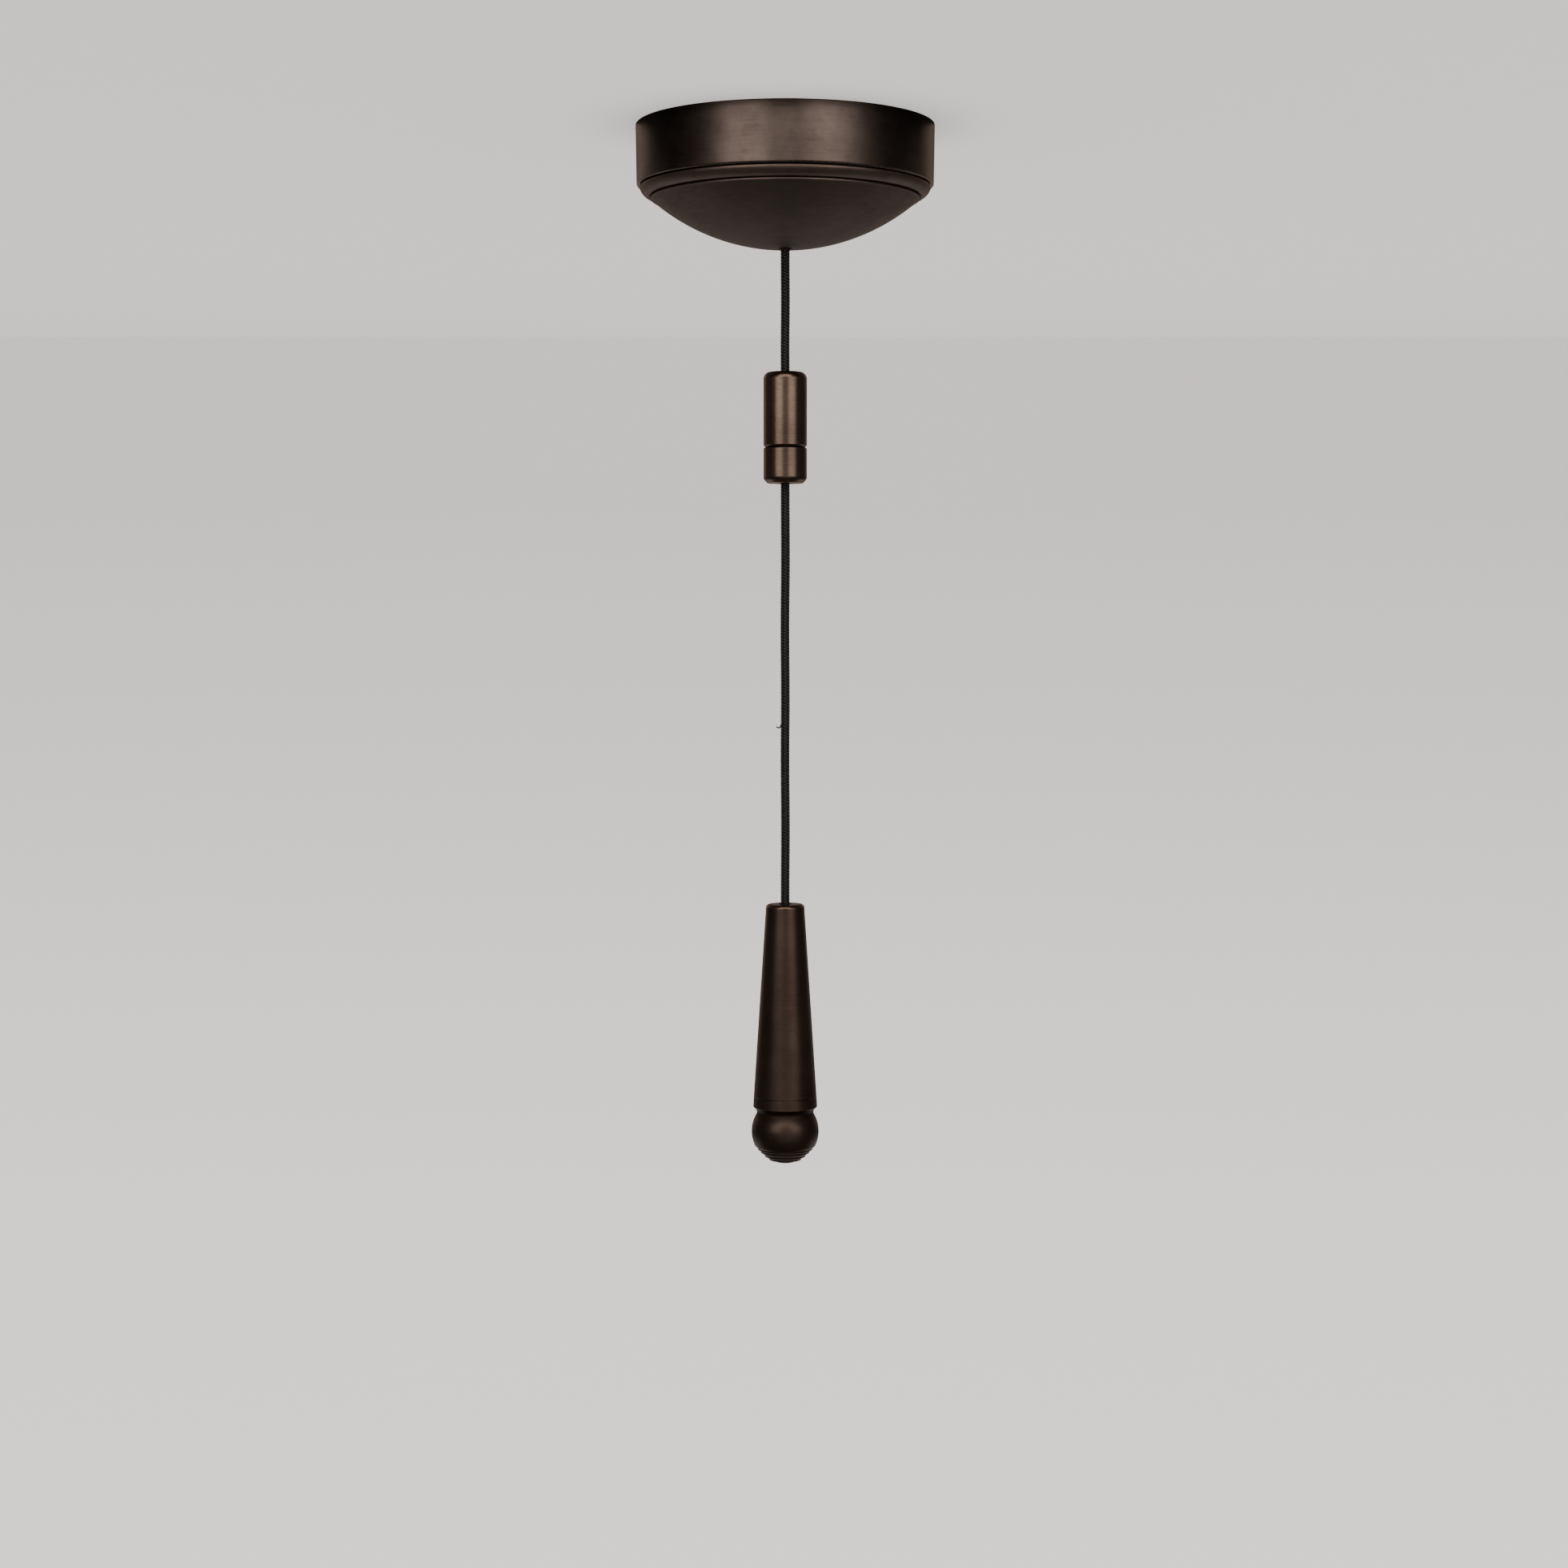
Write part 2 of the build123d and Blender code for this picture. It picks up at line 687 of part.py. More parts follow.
def handle_finial():
    spigot_r = 8.18
    spigot_top = -314.5
    inner = 6.6
    band_top = HANDLE_SEAM - 0.1
    band_r = 10.94
    band_foot = -330.55
    neck_r = 9.75
    floor = -341.0
    neck_drop = 6.0
    foot_drop = 5.05
    cap_r = 4.2
    cap_sphere = 8.9
    cap_z = HANDLE_TIP + cap_sphere
    rings = ((9.33, -345.1), (8.3, -346.2), (7.0, -347.5), (5.45, -348.7))
    steps = []
    for radius, z in rings:
        steps.append((radius + 0.08, z + 0.3))
        steps.append((radius, z - 0.25))
    return turned(
        (inner, spigot_top),
        (spigot_r, spigot_top),
        (spigot_r, band_top),
        (HANDLE_SEAM_R + 0.03, band_top),
        (band_r, band_foot),
        ((neck_r + 0.1, band_foot - 1.2), (neck_r, BALL_Z + neck_drop + 0.1)),
        (math.sqrt(BALL_R ** 2 - neck_drop ** 2), BALL_Z + neck_drop),
        ((BALL_R, BALL_Z), (math.sqrt(BALL_R ** 2 - foot_drop ** 2), BALL_Z - foot_drop)),
        *steps,
        (cap_r, cap_z - math.sqrt(cap_sphere ** 2 - cap_r ** 2)),
        ((cap_r / 2, cap_z - math.sqrt(cap_sphere ** 2 - (cap_r / 2) ** 2)), (0, HANDLE_TIP)),
        (0, floor),
        (inner - 2.0, floor),
        (inner, floor + 3.0),
    )


# ---- write --------------------------------------------------------------------------
NODES = {
    "back_plate": back_plate,
    "canopy_ring": canopy_ring,
    "dome_cover": dome_cover,
    "side_fixing_screws": side_fixing_screws,
    "cord_exit_bush": cord_exit_bush,
    "base_moulding": base_moulding,
    "base_screws": base_screws,
    "mechanism_cover": mechanism_cover,
    "cover_screws": cover_screws,
    "common_terminal": common_terminal,
    "switched_terminal": switched_terminal,
    "loop_terminal": loop_terminal,
    "terminal_screws": terminal_screws,
    "earth_terminal": earth_terminal,
    "earth_screw": earth_screw,
    "contact_blade": contact_blade,
    "moving_contact_rivet": moving_contact_rivet,
    "fixed_contact_rivet": fixed_contact_rivet,
    "ratchet_wheel": ratchet_wheel,
    "switching_cam": switching_cam,
    "ratchet_axle": ratchet_axle,
    "detent_spring": detent_spring,
    "plunger": plunger,
    "pawl": pawl,
    "pawl_pin": pawl_pin,
    "return_spring": return_spring,
    "cord_in_switch": cord_in_switch,
    "cord_top_knot": lambda: knot(*SWITCH_KNOT),
    "upper_cord": upper_cord,
    "cord_in_connector": cord_in_connector,
    "upper_cord_knot": lambda: knot(*UPPER_KNOT),
    "coupler_upper": coupler_upper,
    "coupler_lower": coupler_lower,
    "lower_cord_top_knot": lambda: knot(*LOWER_TOP_KNOT),
    "cord_in_connector_foot": cord_in_connector_foot,
    "lower_cord": lower_cord,
    "cord_in_handle": cord_in_handle,
    "lower_cord_knot": lambda: knot(*HANDLE_KNOT),
    "handle_body": handle_body,
    "handle_finial": handle_finial,
}

os.makedirs("parts", exist_ok=True)
for name, make in NODES.items():
    export_step(make(), f"parts/{name}.step")
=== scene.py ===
import bpy
import json
import math
from mathutils import Matrix, Vector


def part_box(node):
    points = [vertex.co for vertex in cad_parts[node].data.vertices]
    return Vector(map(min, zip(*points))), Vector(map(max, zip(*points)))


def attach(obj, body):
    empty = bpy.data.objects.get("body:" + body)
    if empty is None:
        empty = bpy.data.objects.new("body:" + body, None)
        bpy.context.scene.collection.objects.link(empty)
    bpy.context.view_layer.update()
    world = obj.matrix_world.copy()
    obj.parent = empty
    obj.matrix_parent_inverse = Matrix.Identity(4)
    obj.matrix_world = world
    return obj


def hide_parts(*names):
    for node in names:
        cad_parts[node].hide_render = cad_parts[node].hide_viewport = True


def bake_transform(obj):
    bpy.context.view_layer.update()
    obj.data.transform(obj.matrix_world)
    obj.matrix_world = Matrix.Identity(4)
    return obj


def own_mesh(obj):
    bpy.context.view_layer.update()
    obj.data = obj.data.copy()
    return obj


# Ceiling pull cord switch in oil-rubbed bronze. Metres, in the frame of the CAD model:
# the ceiling is Z = 0, the part hangs below it, X is to the right and Y away.
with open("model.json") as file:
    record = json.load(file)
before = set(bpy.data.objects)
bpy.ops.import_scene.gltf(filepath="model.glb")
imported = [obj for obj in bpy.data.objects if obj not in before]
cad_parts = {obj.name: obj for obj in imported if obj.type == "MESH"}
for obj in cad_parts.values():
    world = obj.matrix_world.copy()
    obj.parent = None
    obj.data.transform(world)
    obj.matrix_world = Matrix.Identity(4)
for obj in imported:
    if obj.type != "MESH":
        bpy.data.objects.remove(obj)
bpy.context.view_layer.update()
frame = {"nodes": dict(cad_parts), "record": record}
MM = 0.001


# ---- places that the frame gives, in metres -----------------------------------------
def top_of(node):
    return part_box(node)[1][2]


def foot_of(node):
    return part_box(node)[0][2]


def radius_of(node):
    low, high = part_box(node)
    return (high[0] - low[0]) / 2


def pivot_of(joint):
    for entry in frame["record"]["behaviour"]["joints"]:
        if entry["name"] == joint:
            return Vector(entry["pos_m"])
    raise ValueError(joint)


BUSH_PIVOT = pivot_of("cord_swing").z
CONNECTOR_PIVOT = pivot_of("connector_swing").z
FOOT_PIVOT = pivot_of("lower_cord_swing").z
HANDLE_PIVOT = pivot_of("handle_swing").z


# ---- nodes --------------------------------------------------------------------------
def add(tree, kind, into=None, **settings):
    """Adds a node. into gives its inputs, as values or as other nodes' outputs."""
    made = tree.nodes.new(kind)
    for name, value in settings.items():
        setattr(made, name, value)
    for name, value in (into or {}).items():
        if isinstance(value, bpy.types.NodeSocket):
            tree.links.new(value, made.inputs[name])
        else:
            made.inputs[name].default_value = value
    return made


def linear(code):
    """Linear colour of an sRGB hex value."""
    parts = [int(code[i : i + 2], 16) / 255 for i in (1, 3, 5)]
    shown = [p / 12.92 if p <= 0.04045 else ((p + 0.055) / 1.055) ** 2.4 for p in parts]
    return (*shown, 1.0)


def new_material(name):
    material = bpy.data.materials.new(name)
    material.use_nodes = True
    tree = material.node_tree
    tree.nodes.clear()
    return material, tree


def lathe_lines(tree, along_mm, round_mm, detail, detail_strength):
    """Noise drawn out round the Z axis, as a brush leaves it on a turned piece.

    along_mm is the spacing of the lines along the outline and round_mm their length.
    """
    place = add(tree, "ShaderNodeTexCoord").outputs["Object"]
    height = add(tree, "ShaderNodeSeparateXYZ", {"Vector": place}).outputs["Z"]
    flat = add(tree, "ShaderNodeVectorMath", {0: place, 1: (1, 1, 0)}, operation="MULTIPLY").outputs[0]
    radius = add(tree, "ShaderNodeVectorMath", {0: flat}, operation="LENGTH").outputs["Value"]
    level = add(tree, "ShaderNodeMath", {0: radius, 1: height}, operation="SUBTRACT").outputs[0]
    per_line = {0: level, 1: 1 / (along_mm * MM)}
    stretch = add(tree, "ShaderNodeMath", per_line, operation="MULTIPLY").outputs[0]
    per_length = {0: flat, "Scale": 1 / (round_mm * MM)}
    about = add(tree, "ShaderNodeVectorMath", per_length, operation="SCALE").outputs[0]
    drawn = add(tree, "ShaderNodeCombineXYZ", {"Z": stretch}).outputs[0]
    where = add(tree, "ShaderNodeVectorMath", {0: about, 1: drawn}, operation="ADD").outputs[0]
    noise = {"Vector": where, "Scale": 1.0, "Detail": detail, "Roughness": detail_strength}
    return add(tree, "ShaderNodeTexNoise", noise).outputs["Fac"]


def grain(tree, size_mm, detail=2.0, roughness=0.5):
    """Even noise whose lumps are about size_mm."""
    place = add(tree, "ShaderNodeTexCoord").outputs["Object"]
    noise = {"Vector": place, "Scale": 1 / (size_mm * MM), "Detail": detail, "Roughness": roughness}
    return add(tree, "ShaderNodeTexNoise", noise).outputs["Fac"]


def spread(value, low, high, from_low=0.3, from_high=0.7):
    """Settings that spread a value's span, for a noise 0.3 to 0.7, over low to high."""
    return {"Value": value, "From Min": from_low, "From Max": from_high, "To Min": low, "To Max": high}


def blend_of(share, first, second):
    """Settings of a colour mix, whose colour sockets share their names with other kinds."""
    return {0: share, 6: first, 7: second}


def relief(height, strength, distance_mm, **under):
    """Settings of a bump whose full height is distance_mm."""
    return {"Height": height, "Strength": strength, "Distance": distance_mm * MM, **under}


# ---- materials ----------------------------------------------------------------------
# near-black of tarnish, also used as painted shade
TARNISH_AND_SHADE = "#1f1815"


def oil_rubbed_bronze(name, dark, mid, worn, roughness, line_mm, line_strength, grain_strength):
    """Bronze darkened in oil and brushed round on the lathe.

    To the eye: a deep brown satin metal with broad soft highlights, hair-fine lines
    round the piece, cloudy patina, warm copper where edges have been rubbed, and
    dull near-black where the outline's wear-and-shade value is below 0: tarnish kept
    in hollows, and painted shade in recesses and on faces that should stay dark.
    """
    material, tree = new_material(name)
    lines = lathe_lines(tree, line_mm, 14.0, 4.0, 0.62)
    fine = lathe_lines(tree, line_mm * 0.35, 5.0, 3.0, 0.6)
    clouds = grain(tree, 11.0, 4.0, 0.6)
    sand = grain(tree, 0.30, 2.0, 0.7)
    patina = add(tree, "ShaderNodeValToRGB", {"Fac": clouds})
    darkest, lightest = patina.color_ramp.elements
    darkest.position, darkest.color = 0.32, linear(dark)
    lightest.position, lightest.color = 0.68, linear(mid)
    streaks = add(tree, "ShaderNodeMapRange", spread(lines, 0.0, 0.55)).outputs["Result"]
    brushed = add(tree, "ShaderNodeMix", blend_of(streaks, patina.outputs["Color"], linear(mid)),
                  data_type="RGBA").outputs[2]

    # one value per point: rubbed wear above 0, tarnish with painted shade below 0
    wear_and_shade = add(tree, "ShaderNodeAttribute", attribute_name="wear_and_shade").outputs["Fac"]
    cloudy = add(tree, "ShaderNodeMapRange", spread(clouds, 0.45, 1.0)).outputs["Result"]
    patchy = add(tree, "ShaderNodeMath", {0: wear_and_shade, 1: cloudy}, operation="MULTIPLY").outputs[0]
    rubbed = add(tree, "ShaderNodeMix", blend_of(patchy, brushed, linear(worn)),
                 data_type="RGBA").outputs[2]
    # below 0 the colour goes towards the tarnish colour: tarnish and painted shade
    tarnish_and_shade = add(tree, "ShaderNodeMapRange", spread(wear_and_shade, 1.0, 0.0, -1.0, 0.0)).outputs["Result"]
    colour = add(tree, "ShaderNodeMix", blend_of(tarnish_and_shade, rubbed, linear(TARNISH_AND_SHADE)),
                 data_type="RGBA").outputs[2]

    satin = add(tree, "ShaderNodeMapRange",
                spread(fine, roughness - 0.05, roughness + 0.06)).outputs["Result"]
    polish = add(tree, "ShaderNodeMapRange", spread(wear_and_shade, 0.28, -0.28, -1.0, 1.0)).outputs["Result"]
    rough = add(tree, "ShaderNodeMath", {0: satin, 1: polish}, operation="ADD").outputs[0]

    normal = add(tree, "ShaderNodeBump", relief(lines, line_strength, 0.03)).outputs["Normal"]
    normal = add(tree, "ShaderNodeBump",
                 relief(fine, line_strength * 0.8, 0.014, Normal=normal)).outputs["Normal"]
    normal = add(tree, "ShaderNodeBump",
                 relief(sand, grain_strength, 0.02, Normal=normal)).outputs["Normal"]
    surface = {"Base Color": colour, "Metallic": 1.0, "Roughness": rough, "Normal": normal}
    bronze = add(tree, "ShaderNodeBsdfPrincipled", surface)
    add(tree, "ShaderNodeOutputMaterial", {"Surface": bronze.outputs["BSDF"]})
    return material


def metal(name, shade, light, roughness, line_mm, drawn=True):
    """Bare or plated metal: fine lines where it was turned or drawn, and a soft mottle."""
    material, tree = new_material(name)
    pattern = lathe_lines(tree, line_mm, 6.0, 3.0, 0.6) if drawn else grain(tree, line_mm, 3.0, 0.6)
    mottle = grain(tree, 1.6, 3.0, 0.55)
    paler = add(tree, "ShaderNodeMapRange", spread(mottle, 0.0, 1.0)).outputs["Result"]
    colour = add(tree, "ShaderNodeMix", blend_of(paler, linear(shade), linear(light)),
                 data_type="RGBA").outputs[2]
    rough = add(tree, "ShaderNodeMapRange",
                spread(pattern, roughness - 0.06, roughness + 0.08)).outputs["Result"]
    normal = add(tree, "ShaderNodeBump", relief(pattern, 0.25, 0.012)).outputs["Normal"]
    surface = {"Base Color": colour, "Metallic": 1.0, "Roughness": rough, "Normal": normal}
    face = add(tree, "ShaderNodeBsdfPrincipled", surface)
    add(tree, "ShaderNodeOutputMaterial", {"Surface": face.outputs["BSDF"]})
    return material


def moulded(name, shade, light, roughness, ior, skin_mm=0.5, through=0.0):
    """Moulded plastic: a fine spark-eroded skin, slight flow marks, soft gloss."""
    material, tree = new_material(name)
    skin = grain(tree, skin_mm, 2.0, 0.5)
    flow = grain(tree, 9.0, 3.0, 0.5)
    paler = add(tree, "ShaderNodeMapRange", spread(flow, 0.0, 1.0)).outputs["Result"]
    colour = add(tree, "ShaderNodeMix", blend_of(paler, linear(shade), linear(light)),
                 data_type="RGBA").outputs[2]
    rough = add(tree, "ShaderNodeMapRange",
                spread(skin, roughness - 0.04, roughness + 0.06)).outputs["Result"]
    normal = add(tree, "ShaderNodeBump", relief(skin, 0.2, 0.03)).outputs["Normal"]
    surface = {
        "Base Color": colour,
        "Roughness": rough,
        "Normal": normal,
        "IOR": ior,
        "Subsurface Weight": through,
        "Subsurface Radius": (0.002, 0.0016, 0.0012),
    }
    plastic = add(tree, "ShaderNodeBsdfPrincipled", surface)
    add(tree, "ShaderNodeOutputMaterial", {"Surface": plastic.outputs["BSDF"]})
    return material


FILAMENT_BUNDLES = 5        # ridges across one yarn
FILAMENT_TURNS = 0.6        # their turns in a millimetre of cord


def waxed_braid():
    """Polyester yarn, braided and waxed: near black, with a greasy light on each yarn."""
    material, tree = new_material("waxed_black_braid")
    along_yarn = add(tree, "ShaderNodeUVMap", uv_map="yarn").outputs["UV"]
    split = add(tree, "ShaderNodeSeparateXYZ", {"Vector": along_yarn})
    # the filament bundles turn slowly along the yarn
    twist = add(tree, "ShaderNodeMath", {0: split.outputs["Y"], 1: FILAMENT_TURNS},
                operation="MULTIPLY").outputs[0]
    across = add(tree, "ShaderNodeMath", {0: split.outputs["X"], 1: twist}, operation="ADD").outputs[0]
    turns = add(tree, "ShaderNodeMath", {0: across, 1: FILAMENT_BUNDLES * 2 * math.pi},
                operation="MULTIPLY").outputs[0]
    ridges = add(tree, "ShaderNodeMath", {0: turns}, operation="SINE").outputs[0]
    wax = grain(tree, 0.9, 3.0, 0.6)
    dust = grain(tree, 0.16, 2.0, 0.6)
    waxy = add(tree, "ShaderNodeMapRange", spread(wax, 0.0, 1.0)).outputs["Result"]
    yarn = add(tree, "ShaderNodeMix", blend_of(waxy, linear("#080605"), linear("#17110f")),
               data_type="RGBA").outputs[2]
    dusty = add(tree, "ShaderNodeMapRange", spread(dust, 0.0, 0.5, 0.55, 0.75)).outputs["Result"]
    colour = add(tree, "ShaderNodeMix", blend_of(dusty, yarn, linear("#2a2523")),
                 data_type="RGBA").outputs[2]
    rough = add(tree, "ShaderNodeMapRange", spread(wax, 0.16, 0.34)).outputs["Result"]
    normal = add(tree, "ShaderNodeBump", relief(ridges, 0.12, 0.03)).outputs["Normal"]
    normal = add(tree, "ShaderNodeBump", relief(dust, 0.15, 0.03, Normal=normal)).outputs["Normal"]
    surface = {
        "Base Color": colour,
        "Roughness": rough,
        "Normal": normal,
        "IOR": 1.5,
        "Specular IOR Level": 0.7,
    }
    cord = add(tree, "ShaderNodeBsdfPrincipled", surface)
    add(tree, "ShaderNodeOutputMaterial", {"Surface": cord.outputs["BSDF"]})
    return material


# name, patina dark and light, rubbed copper, roughness, line spacing in mm, strengths
RING_BRONZE = oil_rubbed_bronze(
    "brushed_bronze_ring", "#5f5049", "#7f6e64", "#b2876d", 0.36, 0.26, 0.26, 0.34)
DOME_BRONZE = oil_rubbed_bronze(
    "spun_bronze_dome", "#655850", "#71635b", "#a5877a", 0.62, 0.60, 0.05, 0.80)
CONNECTOR_BRONZE = oil_rubbed_bronze(
    "brushed_bronze_connector", "#675448", "#866f61", "#bd8e74", 0.30, 0.26, 0.20, 0.46)
HANDLE_BRONZE = oil_rubbed_bronze(
    "brushed_bronze_handle", "#58473e", "#6e5a4f", "#c8957a", 0.35, 0.26, 0.16, 0.50)
BRAID = waxed_braid()
BLACK_NYLON = moulded("moulded_black_nylon", "#0c0b0b", "#151414", 0.45, 1.53, 0.35)
UREA = moulded("moulded_white_urea", "#d8d2c2", "#e6e1d4", 0.38, 1.55, 0.6)
NYLON = moulded("moulded_natural_nylon", "#c9c0a6", "#ddd5bf", 0.42, 1.53, 0.5, 0.15)
ACETAL = moulded("moulded_grey_acetal", "#4a4e52", "#5c6064", 0.35, 1.48, 0.4)
ZINC = metal("zinc_plated_steel", "#9a9b97", "#c4c4bd", 0.34, 0.5, False)
BLACK_STEEL = metal("blackened_steel", "#1a1817", "#2b2827", 0.42, 0.15)
BRASS = metal("machined_brass", "#a9854a", "#caa765", 0.28, 0.12, False)
PHOSPHOR = metal("rolled_phosphor_bronze", "#a8764e", "#c49067", 0.27, 0.10, False)
SILVER = metal("silver_contact_alloy", "#b9b8b3", "#d9d8d2", 0.24, 0.10, False)
SPRING_STEEL = metal("drawn_spring_steel", "#77787a", "#9c9d9e", 0.25, 0.10, False)

CAD_FINISH = {
    "back_plate": ZINC,
    "base_moulding": UREA,
    "mechanism_cover": UREA,
    "base_screws": ZINC,
    "cover_screws": ZINC,
    "terminal_screws": ZINC,
    "earth_screw": ZINC,
    "side_fixing_screws": BLACK_STEEL,
    "common_terminal": BRASS,
    "switched_terminal": BRASS,
    "loop_terminal": BRASS,
    "earth_terminal": BRASS,
    "contact_blade": PHOSPHOR,
    "detent_spring": PHOSPHOR,
    "moving_contact_rivet": SILVER,
    "fixed_contact_rivet": SILVER,
    "ratchet_wheel": ACETAL,
    "switching_cam": ACETAL,
    "ratchet_axle": SPRING_STEEL,
    "pawl": SPRING_STEEL,
    "pawl_pin": SPRING_STEEL,
    "plunger": NYLON,
}


# ---- turned pieces ------------------------------------------------------------------
def arc_through(first, middle, last, step=4.0, wear_and_shade=0.0):
    """Points of the arc through three points, in millimetres."""
    a, b, c = Vector(first), Vector(middle), Vector(last)
    ab, ac = b - a, c - a
    cross = 2 * (ab.x * ac.y - ab.y * ac.x)
    centre = a + Vector((
        (ac.y * ab.length_squared - ab.y * ac.length_squared) / cross,
        (ab.x * ac.length_squared - ac.x * ab.length_squared) / cross,
    ))
    start = math.atan2(a.y - centre.y, a.x - centre.x)
    turn = math.atan2(c.y - centre.y, c.x - centre.x) - start
    turn = (turn + math.pi) % (2 * math.pi) - math.pi
    radius = (a - centre).length
    count = max(3, math.ceil(abs(math.degrees(turn)) / step))
    points = []
    for i in range(count + 1):
        t = start + turn * i / count
        points.append((centre.x + radius * math.cos(t), centre.y + radius * math.sin(t), 0, wear_and_shade))
    return points


def eased(points, closed):
    """Outline with its corners rounded. A point is (r, z) or (r, z, rounding, wear and painted shade).
    """
    out = []
    count = len(points)
    for i, point in enumerate(points):
        here = Vector(point[:2])
        size = point[2] if len(point) > 2 else 0.0
        wear_and_shade = point[3] if len(point) > 3 else 0.0
        if size <= 0 or (not closed and i in (0, count - 1)):
            out.append((here.x, here.y, wear_and_shade))
            continue
        before = Vector(points[i - 1][:2]) - here
        after = Vector(points[(i + 1) % count][:2]) - here
        half = before.angle(after) / 2
        reach = min(size / math.tan(half), before.length * 0.48, after.length * 0.48)
        before.normalize()
        after.normalize()
        start = here + before * reach
        end = here + after * reach
        centre = here + (before + after).normalized() * (reach / math.cos(half))
        lead = min(0.05, reach * 0.4)
        out.append((*(start + before * lead), 0.0))
        steps = max(4, math.ceil((180 - math.degrees(2 * half)) / 10))
        for k in range(steps + 1):
            t = k / steps
            across = start.lerp(end, t) - centre
            at = centre + across.normalized() * (start - centre).length
            out.append((at.x, at.y, wear_and_shade * (1 - abs(2 * t - 1) * 0.6)))
        out.append((*(end + after * lead), 0.0))
    return out


def lathe_tree():
    """Node tree that turns an outline about the Z axis, as a lathe would cut it."""
    tree = bpy.data.node_groups.new("turned_piece", "GeometryNodeTree")
    tree.interface.new_socket("Geometry", in_out="INPUT", socket_type="NodeSocketGeometry")
    tree.interface.new_socket("Segments", in_out="INPUT", socket_type="NodeSocketInt")
    tree.interface.new_socket("Weld", in_out="INPUT", socket_type="NodeSocketFloat")
    tree.interface.new_socket("Finish", in_out="INPUT", socket_type="NodeSocketMaterial")
    tree.interface.new_socket("Geometry", in_out="OUTPUT", socket_type="NodeSocketGeometry")
    given = add(tree, "NodeGroupInput")
    outline = add(tree, "GeometryNodeMeshToCurve", {"Mesh": given.outputs["Geometry"]})
    sizes = {"Resolution": given.outputs["Segments"], "Radius": 1e-6}
    spin = add(tree, "GeometryNodeCurvePrimitiveCircle", sizes)
    swept = {"Curve": spin.outputs["Curve"], "Profile Curve": outline.outputs["Curve"]}
    skin = add(tree, "GeometryNodeCurveToMesh", swept)
    closed = {"Geometry": skin.outputs["Mesh"], "Distance": given.outputs["Weld"]}
    welded = add(tree, "GeometryNodeMergeByDistance", closed)
    smooth = add(tree, "GeometryNodeSetShadeSmooth", {"Geometry": welded.outputs["Geometry"]})
    real = add(tree, "GeometryNodeRealizeInstances", {"Geometry": smooth.outputs["Geometry"]})
    done = {"Geometry": real.outputs["Geometry"], "Material": given.outputs["Finish"]}
    dressed = add(tree, "GeometryNodeSetMaterial", done)
    add(tree, "NodeGroupOutput", {"Geometry": dressed.outputs["Geometry"]})
    return tree


def grown(name, source, tree, **inputs):
    """Runs a node tree on a mesh and returns the result as a plain mesh object."""
    seed = bpy.data.objects.new(name + "_seed", source)
    bpy.context.scene.collection.objects.link(seed)
    modifier = seed.modifiers.new("made", "NODES")
    modifier.node_group = tree
    for item in tree.interface.items_tree:
        if item.in_out == "INPUT" and item.name in inputs:
            modifier[item.identifier] = inputs[item.name]
    bpy.context.view_layer.update()
    shown = seed.evaluated_get(bpy.context.evaluated_depsgraph_get())
    mesh = bpy.data.meshes.new_from_object(shown)
    bpy.data.objects.remove(seed)
    mesh.name = name
    made = bpy.data.objects.new(name, mesh)
    bpy.context.scene.collection.objects.link(made)
    return made


LATHE = lathe_tree()


def outline_mesh(name, points, closed):
    """Mesh of one edge loop in the XY plane: X is the radius and -Y the height."""
    dense = eased(points, closed)
    mesh = bpy.data.meshes.new(name)
    edges = [(i, i + 1) for i in range(len(dense) - 1)]
    if closed:
        edges.append((len(dense) - 1, 0))
    mesh.from_pydata([(r * MM, -z * MM, 0) for r, z, _ in dense], edges, [])
    wear_and_shade = mesh.attributes.new("wear_and_shade", "FLOAT", "POINT")
    wear_and_shade.data.foreach_set("value", [w for _, _, w in dense])
    return mesh


def turned(name, points, finish, closed=True, segments=256):
    """A turned piece, cut from its outline and welded where the outline meets the axis."""
    mesh = outline_mesh(name, points, closed)
    return grown(name, mesh, LATHE, Segments=segments, Weld=2e-6, Finish=finish)


# ---- outlines of the turned pieces, in millimetres: radius, height, rounding, wear and painted shade ----
DOME_R = 69.5               # outside radius of the dome's sphere
DOME_CENTRE = 29.0          # height of its centre
DOME_WALL = 1.5
DOME_HOLE = 2.75            # radius of the hole for the bush
CORD_HOLE = 1.8             # radius of the holes that the cord runs in


def dome_z(radius, sphere=DOME_R):
    """Height of the dome's sphere at a radius."""
    return DOME_CENTRE - math.sqrt(sphere ** 2 - radius ** 2)


def dome_stretch(first, last, sphere=DOME_R):
    """Points along the sphere from one radius to another."""
    middle = (first + last) / 2
    ends = [(r, dome_z(r, sphere)) for r in (first, middle, last)]
    return arc_through(*ends, step=1.2)


